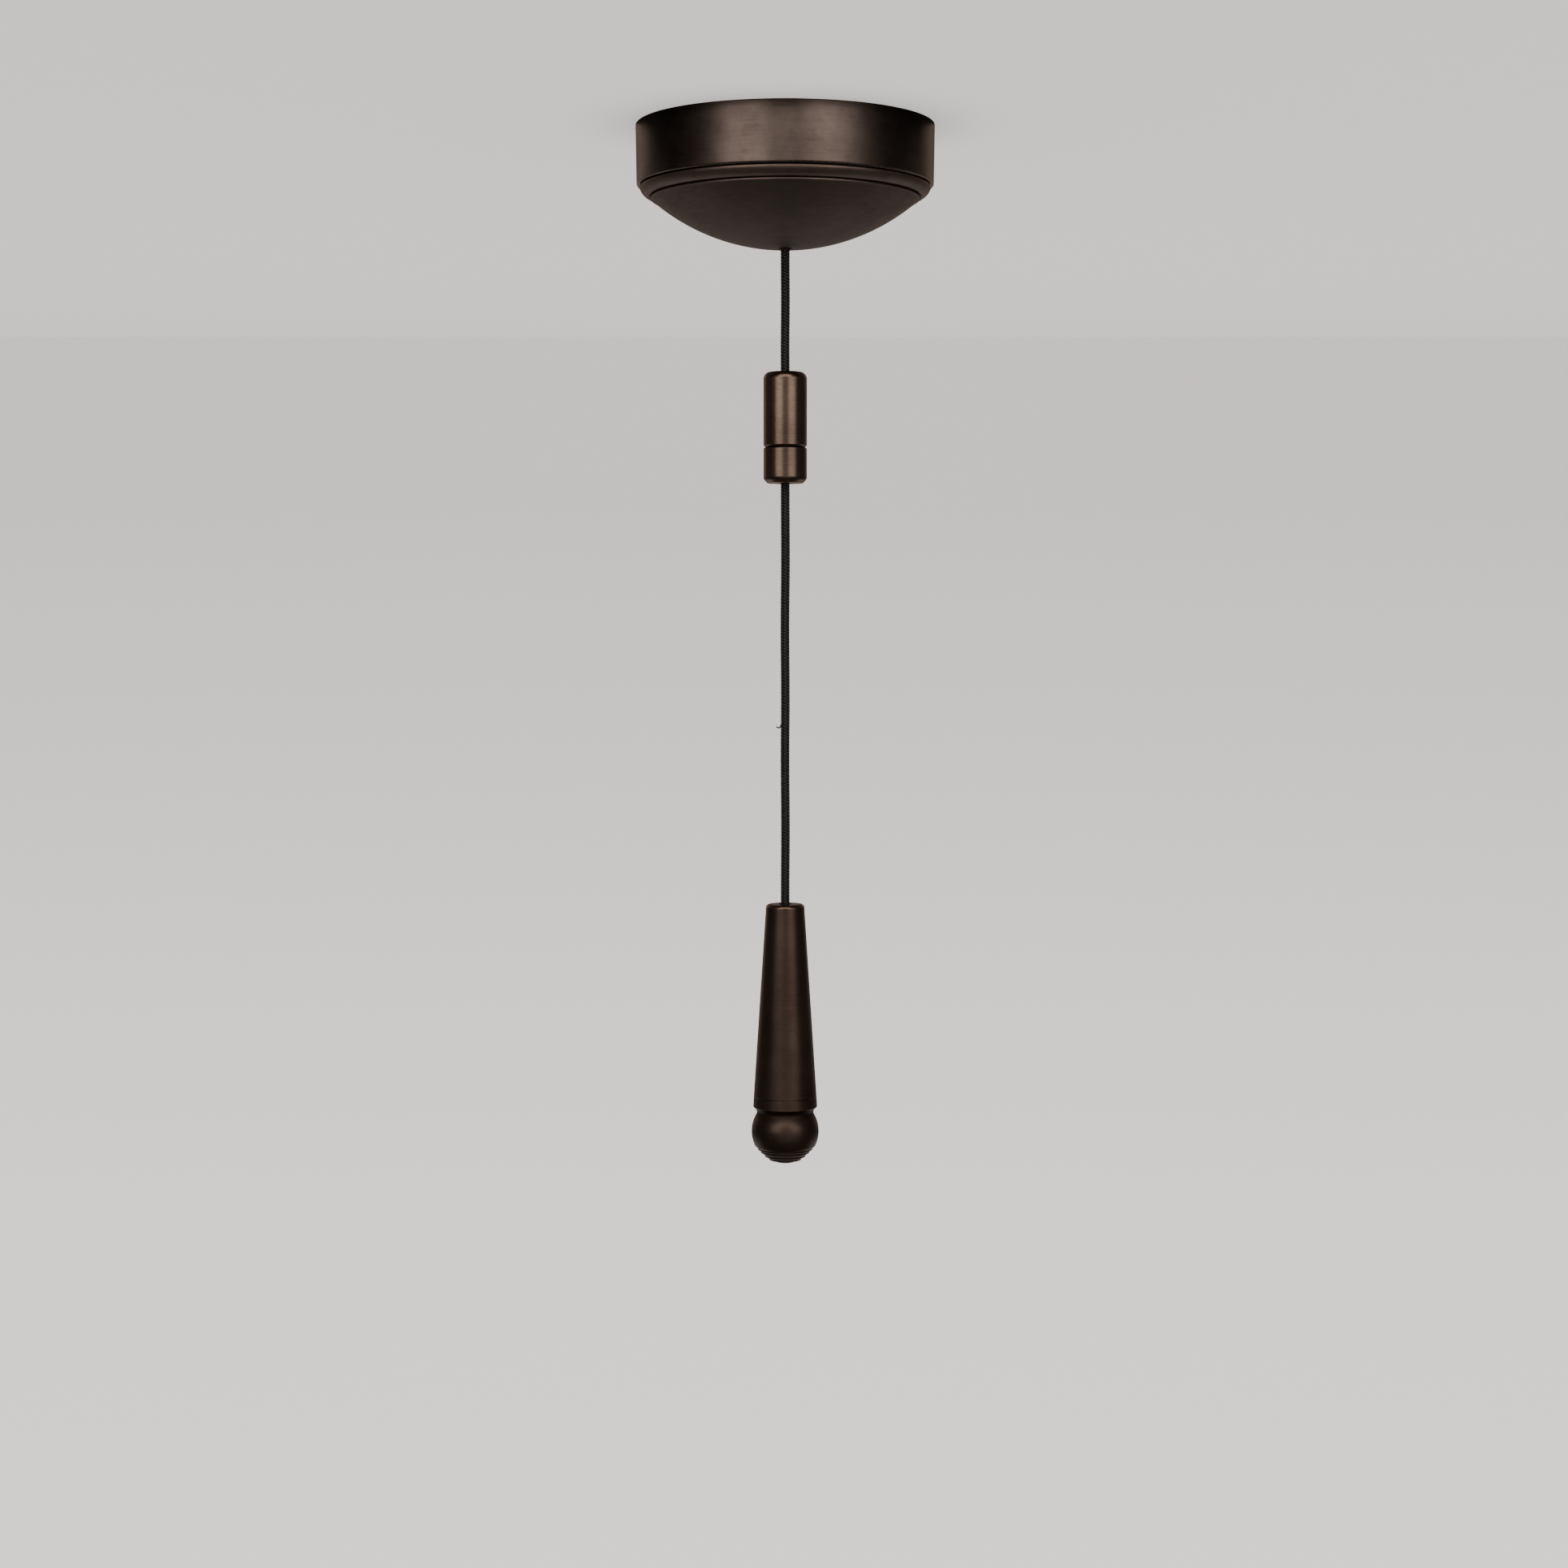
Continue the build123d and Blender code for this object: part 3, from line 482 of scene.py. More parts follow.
def domed_cover():
    inside = DOME_R - DOME_WALL
    bead = arc_through((48.55, -21.1), (47.45, -22.60), (45.7, -23.45), 3.0, 0.25)
    return turned("domed_cover", [
        (45.3, -13.0, 0.2),
        (46.95, -13.0, 0.2),
        (46.95, -19.95, 0.1),
        (47.35, -20.15, 0.1),
        (48.6, -20.20, 0.20, 0.8),
        (48.6, -20.60, 0, 0.8),
        *bead,
        (45.6, -23.35, 0.08, 0.2),
        # the groove's value of -1 is painted shade in the recess under the bead
        (44.15, -22.90, 0.10, -1.0),
        (44.05, -23.35, 0.10, -1.0),
        # the lip's value of 1 makes it rubbed copper and polished, and its lighter colour is also a
        # painted highlight line
        (44.97, -23.92, 0.06, 1.0),
        (44.97, -24.10, 0, 1.0),
        (44.95, -24.32, 0.06, 1.0),
        (44.4, dome_z(44.4), 0.10, 0.2),
        *dome_stretch(43.9, 3.2),
        (DOME_HOLE, dome_z(DOME_HOLE), 0.12, 0.2),
        (DOME_HOLE, dome_z(DOME_HOLE, inside), 0.1),
        *dome_stretch(4.0, 42.5, inside),
        (43.0, dome_z(43.0, inside), 0.3),
        (45.3, -21.2, 0.5),
    ], DOME_BRONZE)


def exit_bush():
    return turned("cord_bush", [
        (2.2, -37.6, 0.2),
        (5.0, -37.6, 0.2),
        (5.0, -38.72, 0.2),
        (2.7, -38.78, 0.1),
        (2.7, -40.5, 0.15),
        (2.38, -40.5, 0.3),
        (1.75, -38.9, 0.4),
    ], BLACK_NYLON, segments=96)


CONNECTOR_R = radius_of("coupler_upper") / MM
SPLIT = foot_of("coupler_upper") / MM
THREAD_R = 5.6


def threads(radius, first, last, pitch, depth):
    """Saw line of a screw thread's section, from one height to another."""
    count = int(abs(last - first) / pitch)
    step = (last - first) / count
    points = []
    for i in range(count):
        points.append((radius, first + step * (i + 0.15)))
        points.append((radius - depth, first + step * (i + 0.6)))
    return points


def connector_upper():
    top = top_of("coupler_upper") / MM
    return turned("connector_upper_half", [
        (CORD_HOLE, CONNECTOR_PIVOT / MM - 0.4, 0.3),
        (2.5, top, 0.25, 0.5),
        (CONNECTOR_R, top, 2.3, 0.25),
        (CONNECTOR_R, SPLIT + 0.45, 0.12, 0.15),
        (CONNECTOR_R - 0.35, SPLIT, 0.08, 0.2),
        (THREAD_R, SPLIT),
        *threads(THREAD_R + 0.1, SPLIT + 0.5, SPLIT + 7.5, 0.7, 0.1),
        (THREAD_R, -98.4, 0.1),
        (4.8, -98.4, 0.3),
        (4.8, -85.0, 0.6),
        (CORD_HOLE, -85.0, 0.3),
    ], CONNECTOR_BRONZE, segments=160)


def connector_lower():
    foot = foot_of("coupler_lower") / MM
    return turned("connector_lower_half", [
        (4.3, -98.6, 0.2),
        (THREAD_R - 0.1, -98.6, 0.3),
        *threads(THREAD_R - 0.06, -99.2, -106.0, 0.7, 0.25),
        (THREAD_R - 0.3, -106.45),
        (6.75, -106.62, 0.08, 0.2),
        (CONNECTOR_R - 0.02, -107.1, 0.12, 0.4),
        # the fillet's value below 0 is painted shade that keeps its sides dark
        (CONNECTOR_R, foot + 1.45, 1.6, -0.5),
        (CONNECTOR_R - 1.4, foot, 1.0, 0.2),
        (2.7, foot, 0.3, 0.4),
        (CORD_HOLE, FOOT_PIVOT / MM + 0.3, 0.4),
        (CORD_HOLE, -114.45, 0.3),
        (4.3, -114.45, 0.6),
    ], CONNECTOR_BRONZE, segments=160)


SEAM = foot_of("handle_body") / MM
SEAM_R = 10.72
RIM_R = 6.48                # radius of the taper at the handle's top


def radius_of_taper(height):
    """Outside radius of the handle's straight taper."""
    top = top_of("handle_body") / MM
    return RIM_R + (SEAM_R - RIM_R) * (top - height) / (top - SEAM)


def handle_shell():
    top = top_of("handle_body") / MM
    bore_top = -313.0
    rim_r = radius_of_taper(top - 1.2)
    return turned("handle_shell", [
        (CORD_HOLE, HANDLE_PIVOT / MM - 0.5, 0.3),
        (2.4, top, 0.3, 0.4),
        (rim_r - 0.03, top, 1.2, 0.45),
        (radius_of_taper(top - 2.6), top - 2.6),
        (SEAM_R - 0.03, SEAM + 0.6),
        (SEAM_R, SEAM, 0.12, 0.35),
        (8.2, SEAM, 0.2),
        *threads(8.3, SEAM + 1.0, bore_top - 1.0, 1.0, 0.12),
        (8.2, bore_top, 0.2),
        (7.9, bore_top + 1.5, 0.3),
        (4.7, -264.8, 0.6),
        (CORD_HOLE, -264.8, 0.3),
    ], HANDLE_BRONZE, segments=192)


def ball_finial():
    centre = -339.05
    ball = 11.47
    neck, foot = 6.0, 5.05
    band = SEAM - 0.1
    rings = ((9.33, -345.1), (8.3, -346.2), (7.0, -347.5), (5.45, -348.7))
    # the steps' values below 0 are painted shade that keeps their downward faces dark
    steps = []
    for radius, z in rings:
        steps.append((radius + 0.08, z + 0.3, 0.10, -0.8))
        steps.append((radius + 0.04, z + 0.02, 0, -0.5))
        steps.append((radius, z - 0.25, 0.16, -0.3))
    tip = foot_of("handle_finial") / MM
    sphere = 8.9
    cap = [(r, tip + sphere - math.sqrt(sphere ** 2 - r ** 2)) for r in (4.2, 2.1, 0.0)]
    cap_points = arc_through(*cap, step=3)
    ball_points = arc_through(
        (math.sqrt(ball ** 2 - neck ** 2), centre + neck),
        (ball, centre),
        (math.sqrt(ball ** 2 - foot ** 2), centre - foot),
        2.5,
    )
    # painted shade under the band, partly tarnish, thins out down the ball; the whole ball is a little
    # darker and rougher
    fade = 1.9
    shades = [max(0.0, 1 - (centre + neck - point[1]) / fade) for point in ball_points]
    ball_points = [(*point[:3], -0.16 - 0.45 * dark) for point, dark in zip(ball_points, shades)]
    return turned("ball_finial", [
        (0, -341.0),
        (4.6, -341.0, 0.4),
        (6.6, -338.0, 0.6),
        (6.6, -314.5, 0.3),
        (8.1, -314.5, 0.4),
        *threads(8.15, -315.2, band + 0.8, 1.0, 0.3),
        (7.9, band + 0.3),
        (7.9, band),
        (SEAM_R + 0.02, band, 0.12, 0.35),
        (10.93, -330.55, 0.15, 0.3),
        # the neck's value below 0 is painted shade in the hollow under the band
        *arc_through((10.55, -330.95), (9.86, -331.75), (9.76, -332.95), 8, -0.55),
        *ball_points,
        *steps,
        *cap_points,
    ], HANDLE_BRONZE, closed=False, segments=192)


# ---- the braided cord ---------------------------------------------------------------
CORD_R = 1.45 * MM
YARNS_EACH_WAY = 8
LAY = 8.4 * MM              # length in which a yarn goes once round
WAVE = 1.41                 # steepness with which a yarn crosses from over to under


def spline_points(name, controls):
    """Points along the smooth line of a cord, read from its NURBS curve."""
    data = bpy.data.curves.new(name + "_line", "CURVE")
    data.dimensions = "3D"
    data.resolution_u = 24
    spline = data.splines.new("NURBS")
    spline.points.add(len(controls) - 1)
    for point, place in zip(spline.points, controls):
        point.co = (*place, 1)
    spline.order_u = 3
    spline.use_endpoint_u = True
    holder = bpy.data.objects.new(name + "_line", data)
    mesh = bpy.data.meshes.new_from_object(holder)
    line = [v.co.copy() for v in mesh.vertices]
    bpy.data.objects.remove(holder)
    bpy.data.curves.remove(data)
    bpy.data.meshes.remove(mesh)
    return line


def evenly(line, step):
    """The same line with points a step apart, each with its distance along it."""
    lengths = [0.0]
    for a, b in zip(line, line[1:]):
        lengths.append(lengths[-1] + (b - a).length)
    count = max(2, round(lengths[-1] / step))
    out = []
    k = 0
    for i in range(count + 1):
        want = lengths[-1] * i / count
        while k < len(line) - 2 and lengths[k + 1] < want:
            k += 1
        share = (want - lengths[k]) / (lengths[k + 1] - lengths[k])
        out.append((line[k].lerp(line[k + 1], share), want))
    return out


def frames_along(samples):
    """A level pair of axes at each sample, carried along without twist."""
    side = Vector((1, 0, 0))
    out = []
    for i, (place, along) in enumerate(samples):
        ahead = samples[min(i + 1, len(samples) - 1)][0] - samples[max(i - 1, 0)][0]
        ahead.normalize()
        side = (side - ahead * side.dot(ahead)).normalized()
        out.append((place, along, ahead, side, ahead.cross(side)))
    return out


def braid(name, line, radius, phase, finish, step=0.24 * MM, sides=6):
    """Round braid: yarns wind both ways over a core, each over two and under two."""
    frames = frames_along(evenly(line, step))
    vertices, faces, coordinates = [], [], []
    yarn_w = radius * 0.26
    yarn_t = radius * 0.18
    weave = yarn_t * 0.7
    lane = radius - yarn_t - weave

    def tube(centre_of, half_w, half_t, count_sides):
        base = len(vertices)
        for i, frame_ in enumerate(frames):
            here = centre_of(i)
            ahead = centre_of(min(i + 1, len(frames) - 1)) - centre_of(max(i - 1, 0))
            ahead.normalize()
            out = here - frame_[0]
            out = frame_[3] if out.length < 1e-7 else out
            out = (out - ahead * out.dot(ahead)).normalized()
            across = ahead.cross(out)
            for k in range(count_sides):
                t = 2 * math.pi * k / count_sides
                wide, thick = half_w * math.cos(t), half_t * math.sin(t)
                vertices.append(here + across * wide + out * thick)
        for i in range(len(frames) - 1):
            for k in range(count_sides):
                n = (k + 1) % count_sides
                a, b = base + i * count_sides, base + (i + 1) * count_sides
                faces.append((a + k, b + k, b + n, a + n))
                v0, v1 = frames[i][1] / MM, frames[i + 1][1] / MM
                u0, u1 = k / count_sides, (k + 1) / count_sides
                coordinates.extend(((u0, v0), (u0, v1), (u1, v1), (u1, v0)))
        for end in (0, len(frames) - 1):
            ring = [base + end * count_sides + k for k in range(count_sides)]
            faces.append(ring if end == 0 else ring[::-1])
            coordinates.extend([(0.5, 0.0)] * count_sides)

    for way in (1, -1):
        for yarn in range(YARNS_EACH_WAY):
            def centre_of(i, way=way, yarn=yarn):
                place, along, _, side, up = frames[i]
                turn = 2 * math.pi * (way * (along + phase) / LAY + yarn / YARNS_EACH_WAY)
                wave = WAVE * math.cos(YARNS_EACH_WAY * turn / 2 - math.pi / 4)
                away = lane + way * weave * max(-1.0, min(1.0, wave))
                return place + (side * math.cos(turn) + up * math.sin(turn)) * away

            tube(centre_of, yarn_w, yarn_t, sides)
    tube(lambda i: frames[i][0], radius * 0.70, radius * 0.70, 8)
    mesh = bpy.data.meshes.new(name)
    mesh.from_pydata(vertices, [], faces)
    layer = mesh.uv_layers.new(name="yarn")
    layer.data.foreach_set("uv", [c for pair in coordinates for c in pair])
    for face in mesh.polygons:
        face.use_smooth = True
    mesh.materials.append(finish)
    made = bpy.data.objects.new(name, mesh)
    bpy.context.scene.collection.objects.link(made)
    return made, [tuple(f[0]) for f in frames]


def stretch_of(top, foot, wander=()):
    """Route of a hanging length, from top to foot, in metres."""
    return [Vector((0, 0, top)), *[Vector(p) for p in wander], Vector((0, 0, foot))]


KNOT_TURNS = (
    (0.0, -0.36, 0.0),
    (0.82, -0.05, -1.3),
    (0.96, 0.54, 0.0),
    (0.36, 0.74, 1.3),
    (-0.32, 0.18, 0.0),
    (-0.45, -0.68, -1.3),
    (0.0, -1.1, 0.0),
    (0.45, -0.68, 1.3),
    (0.32, 0.18, 0.0),
    (-0.36, 0.74, -1.3),
    (-0.96, 0.54, 0.0),
    (-0.82, -0.05, 1.3),
    (0.0, -0.36, 0.0),
)


KNOT_CORD_R = 1.1 * MM      # the cord is squeezed thinner where it is knotted
KNOT_ROOM = 1.2 * MM        # what its thickness takes from each side of the knot's box


def knot_line(name, node):
    """A tight overhand knot in a node's box: three lobes that pass over each other."""
    low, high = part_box(node)
    reach = (high[0] - low[0]) / 2 - KNOT_ROOM
    rise = (high[2] - low[2]) / 2 - KNOT_ROOM
    middle = (high[2] + low[2]) / 2
    return spline_points(name, [(reach * x, reach * y, middle + rise * z) for x, y, z in KNOT_TURNS])


# ---- spring -------------------------------------------------------------------------
def coil_tree():
    """Node tree that winds a round wire into a coil standing on the XY plane."""
    tree = bpy.data.node_groups.new("coil_spring", "GeometryNodeTree")
    tree.interface.new_socket("Geometry", in_out="INPUT", socket_type="NodeSocketGeometry")
    for name in ("Turns", "Radius", "Height", "Wire"):
        tree.interface.new_socket(name, in_out="INPUT", socket_type="NodeSocketFloat")
    tree.interface.new_socket("Finish", in_out="INPUT", socket_type="NodeSocketMaterial")
    tree.interface.new_socket("Geometry", in_out="OUTPUT", socket_type="NodeSocketGeometry")
    given = add(tree, "NodeGroupInput")
    winding = {
        "Resolution": 36,
        "Rotations": given.outputs["Turns"],
        "Start Radius": given.outputs["Radius"],
        "End Radius": given.outputs["Radius"],
        "Height": given.outputs["Height"],
    }
    spiral = add(tree, "GeometryNodeCurveSpiral", winding)
    gauge = {"Resolution": 12, "Radius": given.outputs["Wire"]}
    wire = add(tree, "GeometryNodeCurvePrimitiveCircle", gauge).outputs["Curve"]
    swept = {"Curve": spiral.outputs["Curve"], "Profile Curve": wire, "Fill Caps": True}
    skin = add(tree, "GeometryNodeCurveToMesh", swept)
    smooth = add(tree, "GeometryNodeSetShadeSmooth", {"Geometry": skin.outputs["Mesh"]})
    real = add(tree, "GeometryNodeRealizeInstances", {"Geometry": smooth.outputs["Geometry"]})
    done = {"Geometry": real.outputs["Geometry"], "Material": given.outputs["Finish"]}
    dressed = add(tree, "GeometryNodeSetMaterial", done)
    add(tree, "NodeGroupOutput", {"Geometry": dressed.outputs["Geometry"]})
    return tree


def return_coil():
    """The plunger's return spring, wound to fill its box."""
    low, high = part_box("return_spring")
    wire = 0.33 * MM
    sizes = {
        "Turns": 5.5,
        "Radius": (high[0] - low[0]) / 2 - wire,
        "Height": high[2] - low[2] - 2 * wire,
        "Wire": wire,
    }
    blank = bpy.data.meshes.new("coil")
    made = grown("return_coil", blank, coil_tree(), Finish=SPRING_STEEL, **sizes)
    made.data.transform(Matrix.Translation((0, 0, low[2] + wire)))
    return made


# ---- loose fibres on the cord -------------------------------------------------------
def fuzz_tree():
    """Node tree that stands short bent fibres on a surface."""
    tree = bpy.data.node_groups.new("cord_fuzz", "GeometryNodeTree")
    tree.interface.new_socket("Geometry", in_out="INPUT", socket_type="NodeSocketGeometry")
    for name in ("Fibres per m2", "Fibre length", "Fibre radius"):
        tree.interface.new_socket(name, in_out="INPUT", socket_type="NodeSocketFloat")
    tree.interface.new_socket("Seed", in_out="INPUT", socket_type="NodeSocketInt")
    tree.interface.new_socket("Finish", in_out="INPUT", socket_type="NodeSocketMaterial")
    tree.interface.new_socket("Geometry", in_out="OUTPUT", socket_type="NodeSocketGeometry")
    given = add(tree, "NodeGroupInput")
    sown = {"Mesh": given.outputs["Geometry"], "Density": given.outputs["Fibres per m2"]}
    points = add(tree, "GeometryNodeDistributePointsOnFaces", sown)
    tree.links.new(given.outputs["Seed"], points.inputs["Seed"])
    reach = add(tree, "ShaderNodeCombineXYZ", {"Z": given.outputs["Fibre length"]})
    bow_share = {0: given.outputs["Fibre length"], 1: 0.45}
    bow = add(tree, "ShaderNodeMath", bow_share, operation="MULTIPLY")
    lift = add(tree, "ShaderNodeCombineXYZ", {"X": bow.outputs[0], "Z": bow.outputs[0]})
    bend = {"Start": (0, 0, 0), "Middle": lift.outputs[0], "End": reach.outputs[0], "Resolution": 4}
    hair = add(tree, "GeometryNodeCurveQuadraticBezier", bend)
    gauge = {"Resolution": 3, "Radius": given.outputs["Fibre radius"]}
    wire = add(tree, "GeometryNodeCurvePrimitiveCircle", gauge).outputs["Curve"]
    swept = {"Curve": hair.outputs["Curve"], "Profile Curve": wire, "Fill Caps": True}
    fibre = add(tree, "GeometryNodeCurveToMesh", swept)
    lean = add(tree, "FunctionNodeRandomValue", data_type="FLOAT_VECTOR")
    lean.inputs[0].default_value = (-1.25, -1.25, -3.1)
    lean.inputs[1].default_value = (1.25, 1.25, 3.1)
    tree.links.new(given.outputs["Seed"], lean.inputs["Seed"])
    turned_ = {"Rotation": points.outputs["Rotation"], "Rotate By": lean.outputs[0]}
    aim = add(tree, "FunctionNodeRotateRotation", turned_, rotation_space="LOCAL")
    size = add(tree, "FunctionNodeRandomValue", data_type="FLOAT")
    size.inputs[2].default_value = 0.35
    size.inputs[3].default_value = 1.0
    tree.links.new(given.outputs["Seed"], size.inputs["Seed"])
    placed = {
        "Points": points.outputs["Points"],
        "Instance": fibre.outputs["Mesh"],
        "Rotation": aim.outputs["Rotation"],
        "Scale": size.outputs[1],
    }
    stood = add(tree, "GeometryNodeInstanceOnPoints", placed)
    real = add(tree, "GeometryNodeRealizeInstances", {"Geometry": stood.outputs["Instances"]})
    done = {"Geometry": real.outputs["Geometry"], "Material": given.outputs["Finish"]}
    dressed = add(tree, "GeometryNodeSetMaterial", done)
    add(tree, "NodeGroupOutput", {"Geometry": dressed.outputs["Geometry"]})
    return tree


def sleeve_mesh(name, line, radius, sides=12):
    """Open tube round a line, to sow fibres on."""
    vertices, faces = [], []
    frames = frames_along(evenly(line, 1.0 * MM))
    for place, _, _, side, up in frames:
        for k in range(sides):
            t = 2 * math.pi * k / sides
            vertices.append(place + (side * math.cos(t) + up * math.sin(t)) * radius)
    for i in range(len(frames) - 1):
        for k in range(sides):
            n = (k + 1) % sides
            a, b = i * sides, (i + 1) * sides
            faces.append((a + k, b + k, b + n, a + n))
    mesh = bpy.data.meshes.new(name)
    mesh.from_pydata(vertices, [], faces)
    return mesh


FUZZ = fuzz_tree()


def cord_fuzz(name, line, seed, finish):
    """Short fibres that stand out from the braid, rooted just under its surface."""
    source = sleeve_mesh(name, line, CORD_R * 0.93)
    sizes = {
        "Fibres per m2": 1.1e6,
        "Fibre length": 0.42 * MM,
        "Fibre radius": 0.018 * MM,
        "Seed": seed,
    }
    return grown(name, source, FUZZ, Finish=finish, **sizes)


# ---- build the object ---------------------------------------------------------------
for node, finish in CAD_FINISH.items():
    for held in frame["nodes"][node].material_slots:
        held.material = finish
for held in frame["nodes"]["canopy_ring"].material_slots:
    held.material = RING_BRONZE


def place_piece(piece, body, slot_name, *nodes):
    """Puts a rigid piece on its body and hides the CAD nodes it replaces."""
    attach(piece, body)
    if nodes:
        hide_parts(*nodes)
    return piece


place_piece(domed_cover(), "root", "bronze_dome", "dome_cover")
place_piece(exit_bush(), "root", "black_nylon", "cord_exit_bush")
upper_half = place_piece(connector_upper(), "connector", "bronze_coupler", "coupler_upper")
lower_half = place_piece(connector_lower(), "connector", "bronze_coupler", "coupler_lower")
place_piece(handle_shell(), "handle", "bronze_handle", "handle_body")
place_piece(ball_finial(), "handle", "bronze_handle", "handle_finial")
coil = place_piece(return_coil(), "root", "spring_steel", "return_spring")
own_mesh(coil)

for name, node, body in (
    ("knot_in_plunger", "cord_top_knot", "plunger"),
    ("knot_in_connector_top", "upper_cord_knot", "connector"),
    ("knot_in_connector_foot", "lower_cord_top_knot", "connector"),
    ("knot_in_handle", "lower_cord_knot", "cord_end"),
):
    knot, _ = braid(name, knot_line(name, node), KNOT_CORD_R, 0.0, BRAID, step=0.4 * MM)
    place_piece(knot, body, "black_cord", node)

# The hanging lengths of cord, each as one braid.
MOUTH = foot_of("dome_cover")
FOOT_MOUTH = foot_of("coupler_lower")
HANDOVER = 0.3 * MM         # how far inside a mouth one length takes over from the other
PROUD = 1.07                # the braid's yarns lie loose and fuller where it hangs free


def hanging_braid(name, top, foot, wander, parent, child, pivot, *nodes, swell=1.0):
    """A length of braid from top to foot."""
    line = spline_points(name, stretch_of(top, foot, wander))
    piece, path = braid(name, line, CORD_R * swell, -top, BRAID)
    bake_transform(piece)
    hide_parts(*nodes)
    return piece, path, line


CORD_TOP = top_of("cord_in_switch")
UPPER_WANDER = (
    (0.0, 0.0, -0.048),
    (0.00008, -0.00005, -0.060),
    (-0.00006, 0.00004, -0.072),
    (0.0, 0.0, -0.0815),
)
LOWER_WANDER = (
    (0.0, 0.0, -0.126),
    (0.00012, 0.0, -0.146),
    (-0.00014, 0.00008, -0.168),
    (0.00010, -0.00006, -0.190),
    (-0.00010, 0.0, -0.212),
    (0.00012, 0.00005, -0.234),
    (0.0, 0.0, -0.252),
    (0.0, 0.0, -0.2605),
)
hanging_braid(
    "cord_inside_switch", CORD_TOP, MOUTH + HANDOVER, ((0, 0, -0.026),),
    "plunger", "upper_cord", BUSH_PIVOT, "cord_in_switch")
upper, upper_path, upper_line = hanging_braid(
    "upper_pull_cord", MOUTH + HANDOVER, foot_of("cord_in_connector"), UPPER_WANDER,
    "upper_cord", "connector", CONNECTOR_PIVOT, "upper_cord", "cord_in_connector", swell=PROUD)
hanging_braid(
    "cord_in_connector_mouth", top_of("cord_in_connector_foot"), FOOT_MOUTH + HANDOVER,
    ((0, 0, -0.1165),), "connector", "lower_cord", FOOT_PIVOT, "cord_in_connector_foot")
lower, lower_path, lower_line = hanging_braid(
    "lower_pull_cord", FOOT_MOUTH + HANDOVER, foot_of("cord_in_handle"), LOWER_WANDER,
    "lower_cord", "cord_end", HANDLE_PIVOT, "lower_cord", "cord_in_handle", swell=PROUD)

# The fuzz is rigid, so it stops short of the joint at the foot of each length.
SHORT_OF_JOINT = 1.5 * MM
for name, body, line, pivot, seed in (
    ("upper_cord_fuzz", "upper_cord", upper_line, CONNECTOR_PIVOT, 11),
    ("lower_cord_fuzz", "lower_cord", lower_line, HANDLE_PIVOT, 23),
):
    clear = [point for point in line if point.z > pivot + SHORT_OF_JOINT]
    place_piece(cord_fuzz(name, clear, seed, BRAID), body, "black_cord")

# A yarn has worked loose on the lower length and stands out to the left.
SNAG_R = 0.25 * MM
snag = spline_points("snagged_yarn", [
    (-0.00100, -0.00050, -0.1994),
    (-0.00140, -0.00060, -0.2003),
    (-0.00180, -0.00070, -0.2012),
    (-0.00245, -0.00080, -0.2012),
    (-0.00300, -0.00085, -0.2008),
])
snagged, _ = braid("snagged_yarn", snag, SNAG_R, 0.0, BRAID, step=0.12 * MM)
place_piece(snagged, "lower_cord", "black_cord")

# ---- room ---------------------------------------------------------------------------
WALL_Y = 0.679              # the wall behind the switch
FLOOR_Z = -0.90
ROOM = 2.6                  # how far the other walls stand off


def plaster(name, high, low, glow):
    """Matt painted plaster, seen from inside the room only, a little lighter low down: painted shade
    darkens it up towards the ceiling.
    """
    material, tree = new_material(name)
    place = add(tree, "ShaderNodeTexCoord").outputs["Object"]
    trowelled = {"Vector": place, "Scale": 9.0, "Detail": 5.0}
    noise = add(tree, "ShaderNodeTexNoise", trowelled).outputs["Fac"]
    normal = add(tree, "ShaderNodeBump", relief(noise, 0.06, 8.0)).outputs["Normal"]
    level = add(tree, "ShaderNodeSeparateXYZ", {"Vector": place}).outputs["Z"]
    # painted shade: the colour goes darker up towards the ceiling
    painted_shade_fades_low_down = add(tree, "ShaderNodeMapRange", spread(level, 1.0, 0.0, -0.50, -0.10)).outputs["Result"]
    shade = add(tree, "ShaderNodeMix", blend_of(painted_shade_fades_low_down, linear(high), linear(low)),
                data_type="RGBA").outputs[2]
    paint = add(tree, "ShaderNodeBsdfDiffuse", {"Color": shade, "Normal": normal})
    light = add(tree, "ShaderNodeEmission", {"Color": shade, "Strength": glow})
    both = add(tree, "ShaderNodeAddShader", {0: paint.outputs[0], 1: light.outputs[0]})
    clear = add(tree, "ShaderNodeBsdfTransparent")
    back = add(tree, "ShaderNodeNewGeometry").outputs["Backfacing"]
    shown = add(tree, "ShaderNodeMixShader", {0: back, 1: both.outputs[0], 2: clear.outputs[0]})
    add(tree, "ShaderNodeOutputMaterial", {"Surface": shown.outputs[0]})
    return material


def room_side(name, corners, finish):
    """One side of the room, which neither mirrors in the metal nor shades the lights."""
    mesh = bpy.data.meshes.new(name)
    mesh.from_pydata(corners, [], [(0, 1, 2, 3)])
    mesh.materials.append(finish)
    side = bpy.data.objects.new(name, mesh)
    bpy.context.scene.collection.objects.link(side)
    side.visible_glossy = False
    side.visible_shadow = False


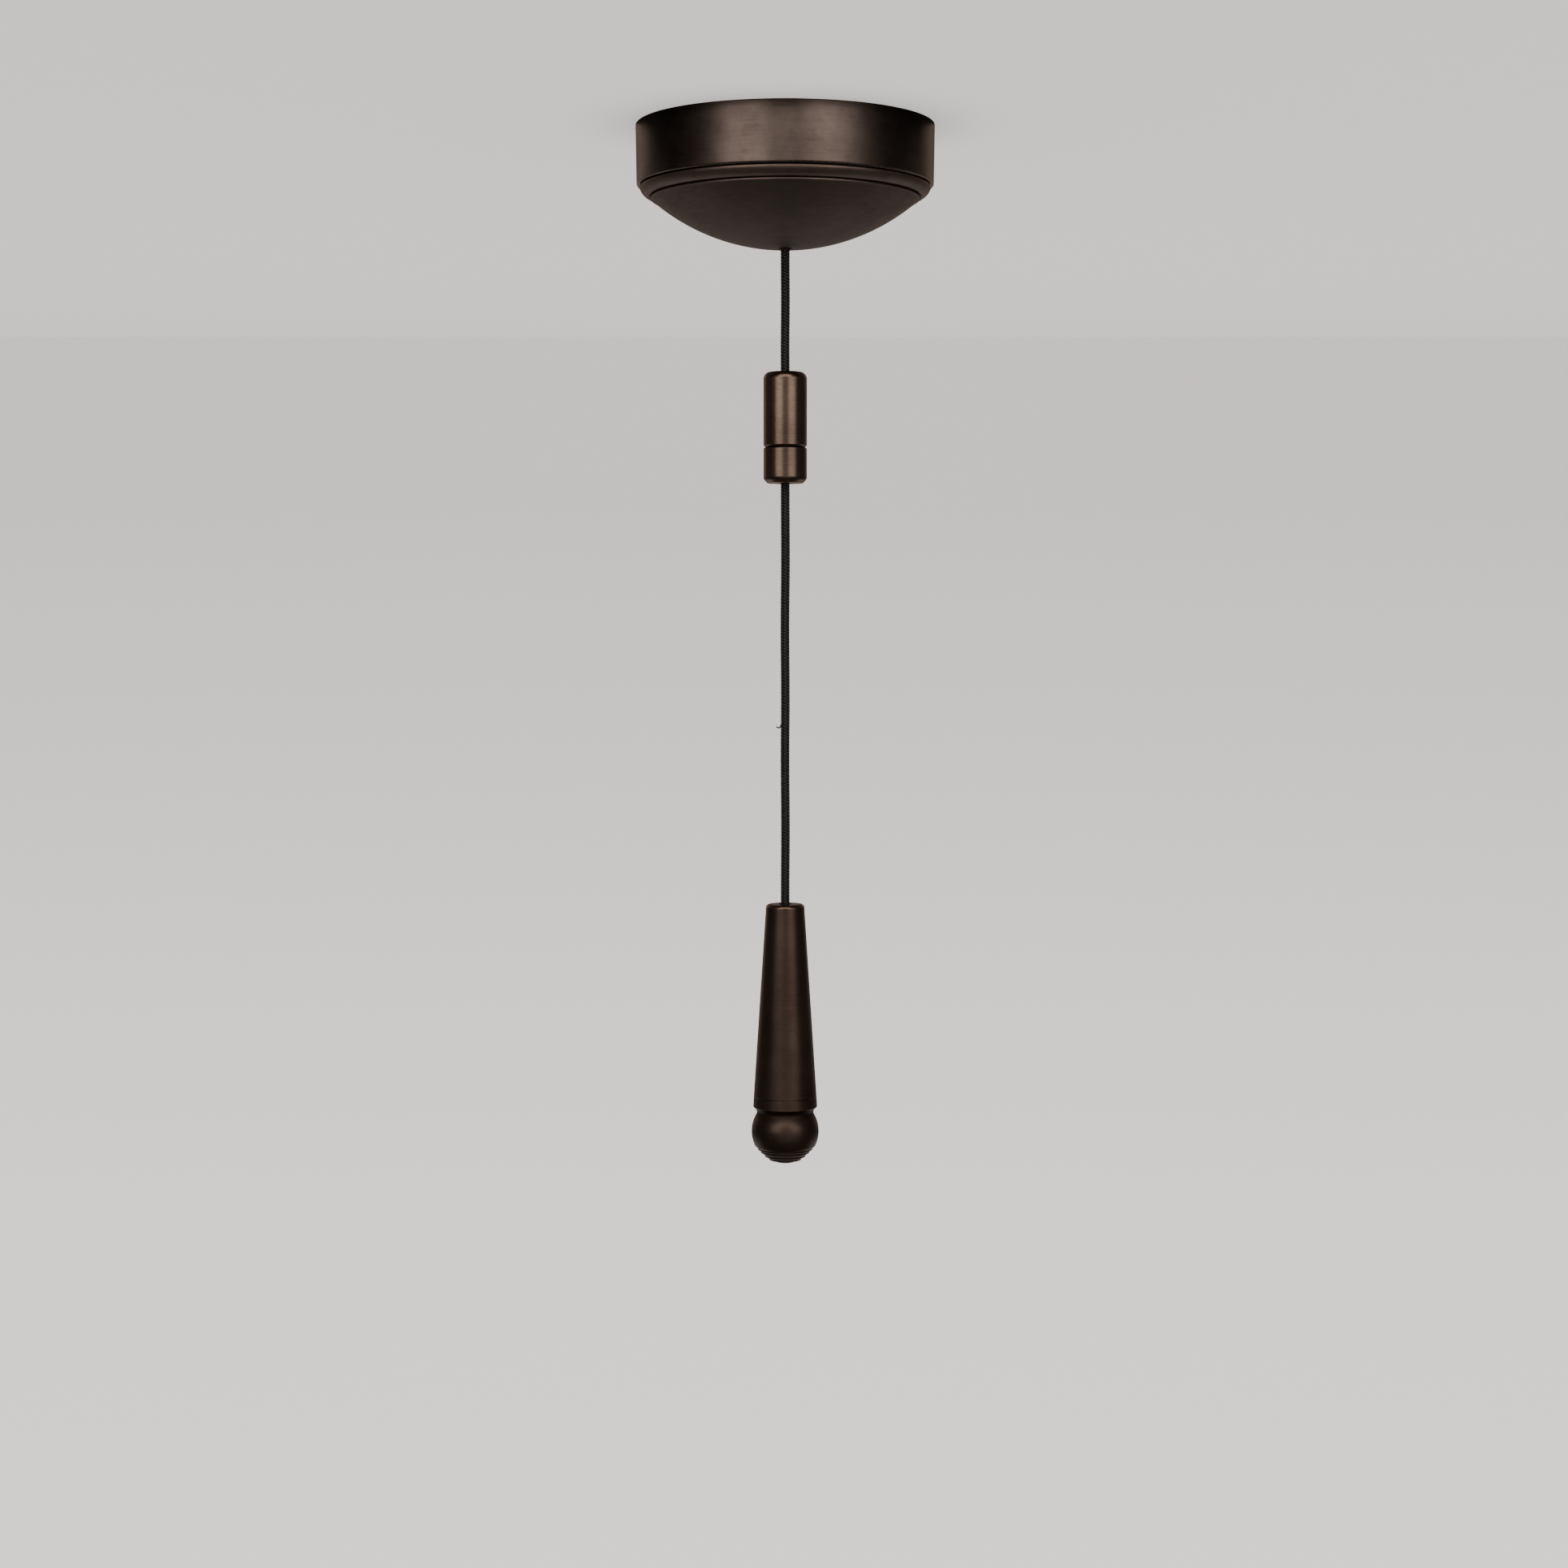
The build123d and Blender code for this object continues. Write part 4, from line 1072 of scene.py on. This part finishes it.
WALL_PAINT = plaster("matt_pale_plaster", "#c1bebd", "#e0dddc", 0.5)
CEILING_PAINT = plaster("matt_pale_ceiling", "#cbc9c8", "#cbc9c8", 0.5)
X0, X1, Y0, Y1, Z0, Z1 = -ROOM, ROOM, -ROOM, WALL_Y, FLOOR_Z, 0.0
room_side("ceiling", [(X0, Y0, Z1), (X0, Y1, Z1), (X1, Y1, Z1), (X1, Y0, Z1)], CEILING_PAINT)
room_side("floor", [(X0, Y0, Z0), (X1, Y0, Z0), (X1, Y1, Z0), (X0, Y1, Z0)], WALL_PAINT)
room_side("back_wall", [(X0, Y1, Z0), (X1, Y1, Z0), (X1, Y1, Z1), (X0, Y1, Z1)], WALL_PAINT)
room_side("front_wall", [(X0, Y0, Z0), (X0, Y0, Z1), (X1, Y0, Z1), (X1, Y0, Z0)], WALL_PAINT)
room_side("left_wall", [(X0, Y0, Z0), (X0, Y1, Z0), (X0, Y1, Z1), (X0, Y0, Z1)], WALL_PAINT)
room_side("right_wall", [(X1, Y0, Z0), (X1, Y0, Z1), (X1, Y1, Z1), (X1, Y1, Z0)], WALL_PAINT)


# ---- light and camera ---------------------------------------------------------------
def light_sheet(name, width, height, radiance, colour):
    """Rectangular light as bright all over, which doesn't show itself."""
    data = bpy.data.lights.new(name, "AREA")
    data.shape = "RECTANGLE"
    data.size, data.size_y = width, height
    data.energy = radiance * math.pi * width * height
    data.color = linear(colour)[:3]
    light = bpy.data.objects.new(name, data)
    bpy.context.scene.collection.objects.link(light)
    light.visible_camera = False
    return light


def softbox(name, left, right, foot, head, depth, radiance, colour="#ffffff"):
    """Upright light in the plane y = depth, facing the object."""
    light = light_sheet(name, right - left, head - foot, radiance, colour)
    light.location = ((left + right) / 2, depth, (foot + head) / 2)
    light.rotation_euler = (math.radians(90), 0, 0 if depth < 0 else math.pi)


def floor_card(name, near, far, half_width, level, radiance):
    """Level light low down, shining up at the undersides."""
    light = light_sheet(name, 2 * half_width, far - near, radiance, "#ffffff")
    light.location = (0, (near + far) / 2, level)
    light.rotation_euler = (math.pi, 0, 0)


def black_flag(name, near, far, half_width, level):
    """Level black card just over the switch, which keeps the top of its ring dark."""
    corners = [(-half_width, near), (half_width, near), (half_width, far), (-half_width, far)]
    mesh = bpy.data.meshes.new(name)
    mesh.from_pydata([(x, y, level) for x, y in corners], [], [(3, 2, 1, 0)])
    material, tree = new_material("black_flock_card")
    shade = add(tree, "ShaderNodeMix", blend_of(grain(tree, 1.0), linear("#050505"), linear("#0c0c0c")),
                data_type="RGBA").outputs[2]
    cloth = add(tree, "ShaderNodeBsdfDiffuse", {"Color": shade})
    add(tree, "ShaderNodeOutputMaterial", {"Surface": cloth.outputs[0]})
    mesh.materials.append(material)
    card = bpy.data.objects.new(name, mesh)
    bpy.context.scene.collection.objects.link(card)
    card.visible_camera = False


FRONT = -1.25
REAR = 1.10
WARM = "#ffe2cf"
# name, left, right, foot, head, depth, radiance
softbox("front_left_softbox", -1.50, -0.36, -0.10, 0.27, FRONT, 2.3)
softbox("front_right_softbox", 0.42, 1.75, -0.10, 0.27, FRONT, 2.1)
softbox("front_centre_card", -0.36, 0.42, -0.10, 0.27, FRONT, 0.16)
softbox("front_high_card", -0.9, 0.9, 0.30, 1.60, FRONT, 1.3)
softbox("front_low_card", -0.6, 1.5, -1.00, -0.13, FRONT, 0.21)
softbox("rear_left_softbox", -1.40, -0.45, -0.5, 0.6, REAR, 0.32, WARM)
softbox("rear_centre_card", -0.45, 0.45, -0.26, -0.10, REAR, 0.80, WARM)
softbox("rear_right_softbox", 0.45, 1.10, -0.5, 0.6, REAR, 0.26, WARM)
floor_card("under_card", 0.30, 1.60, 1.2, -0.85, 0.44)
black_flag("flag_over_canopy", -0.060, -0.003, 0.40, 0.4 * MM)

world = bpy.data.worlds.new("dim_studio")
world.use_nodes = True
sky = world.node_tree.nodes["Background"]
sky.inputs["Color"].default_value = linear("#4b4a49")
sky.inputs["Strength"].default_value = 1.0
bpy.context.scene.world = world

# Just under a metre away, half way down the cord, looking very slightly down.
CAMERA_PLACE = (-0.0004, -0.9224, -0.1645)
CAMERA_DIP = 3.46           # degrees
lens = bpy.data.cameras.new("camera")
lens.sensor_width = 36.0
lens.lens = 62.52
camera = bpy.data.objects.new("camera", lens)
camera.location = CAMERA_PLACE
camera.rotation_euler = (math.radians(90 - CAMERA_DIP), 0, 0)
bpy.context.scene.collection.objects.link(camera)
bpy.context.scene.camera = camera
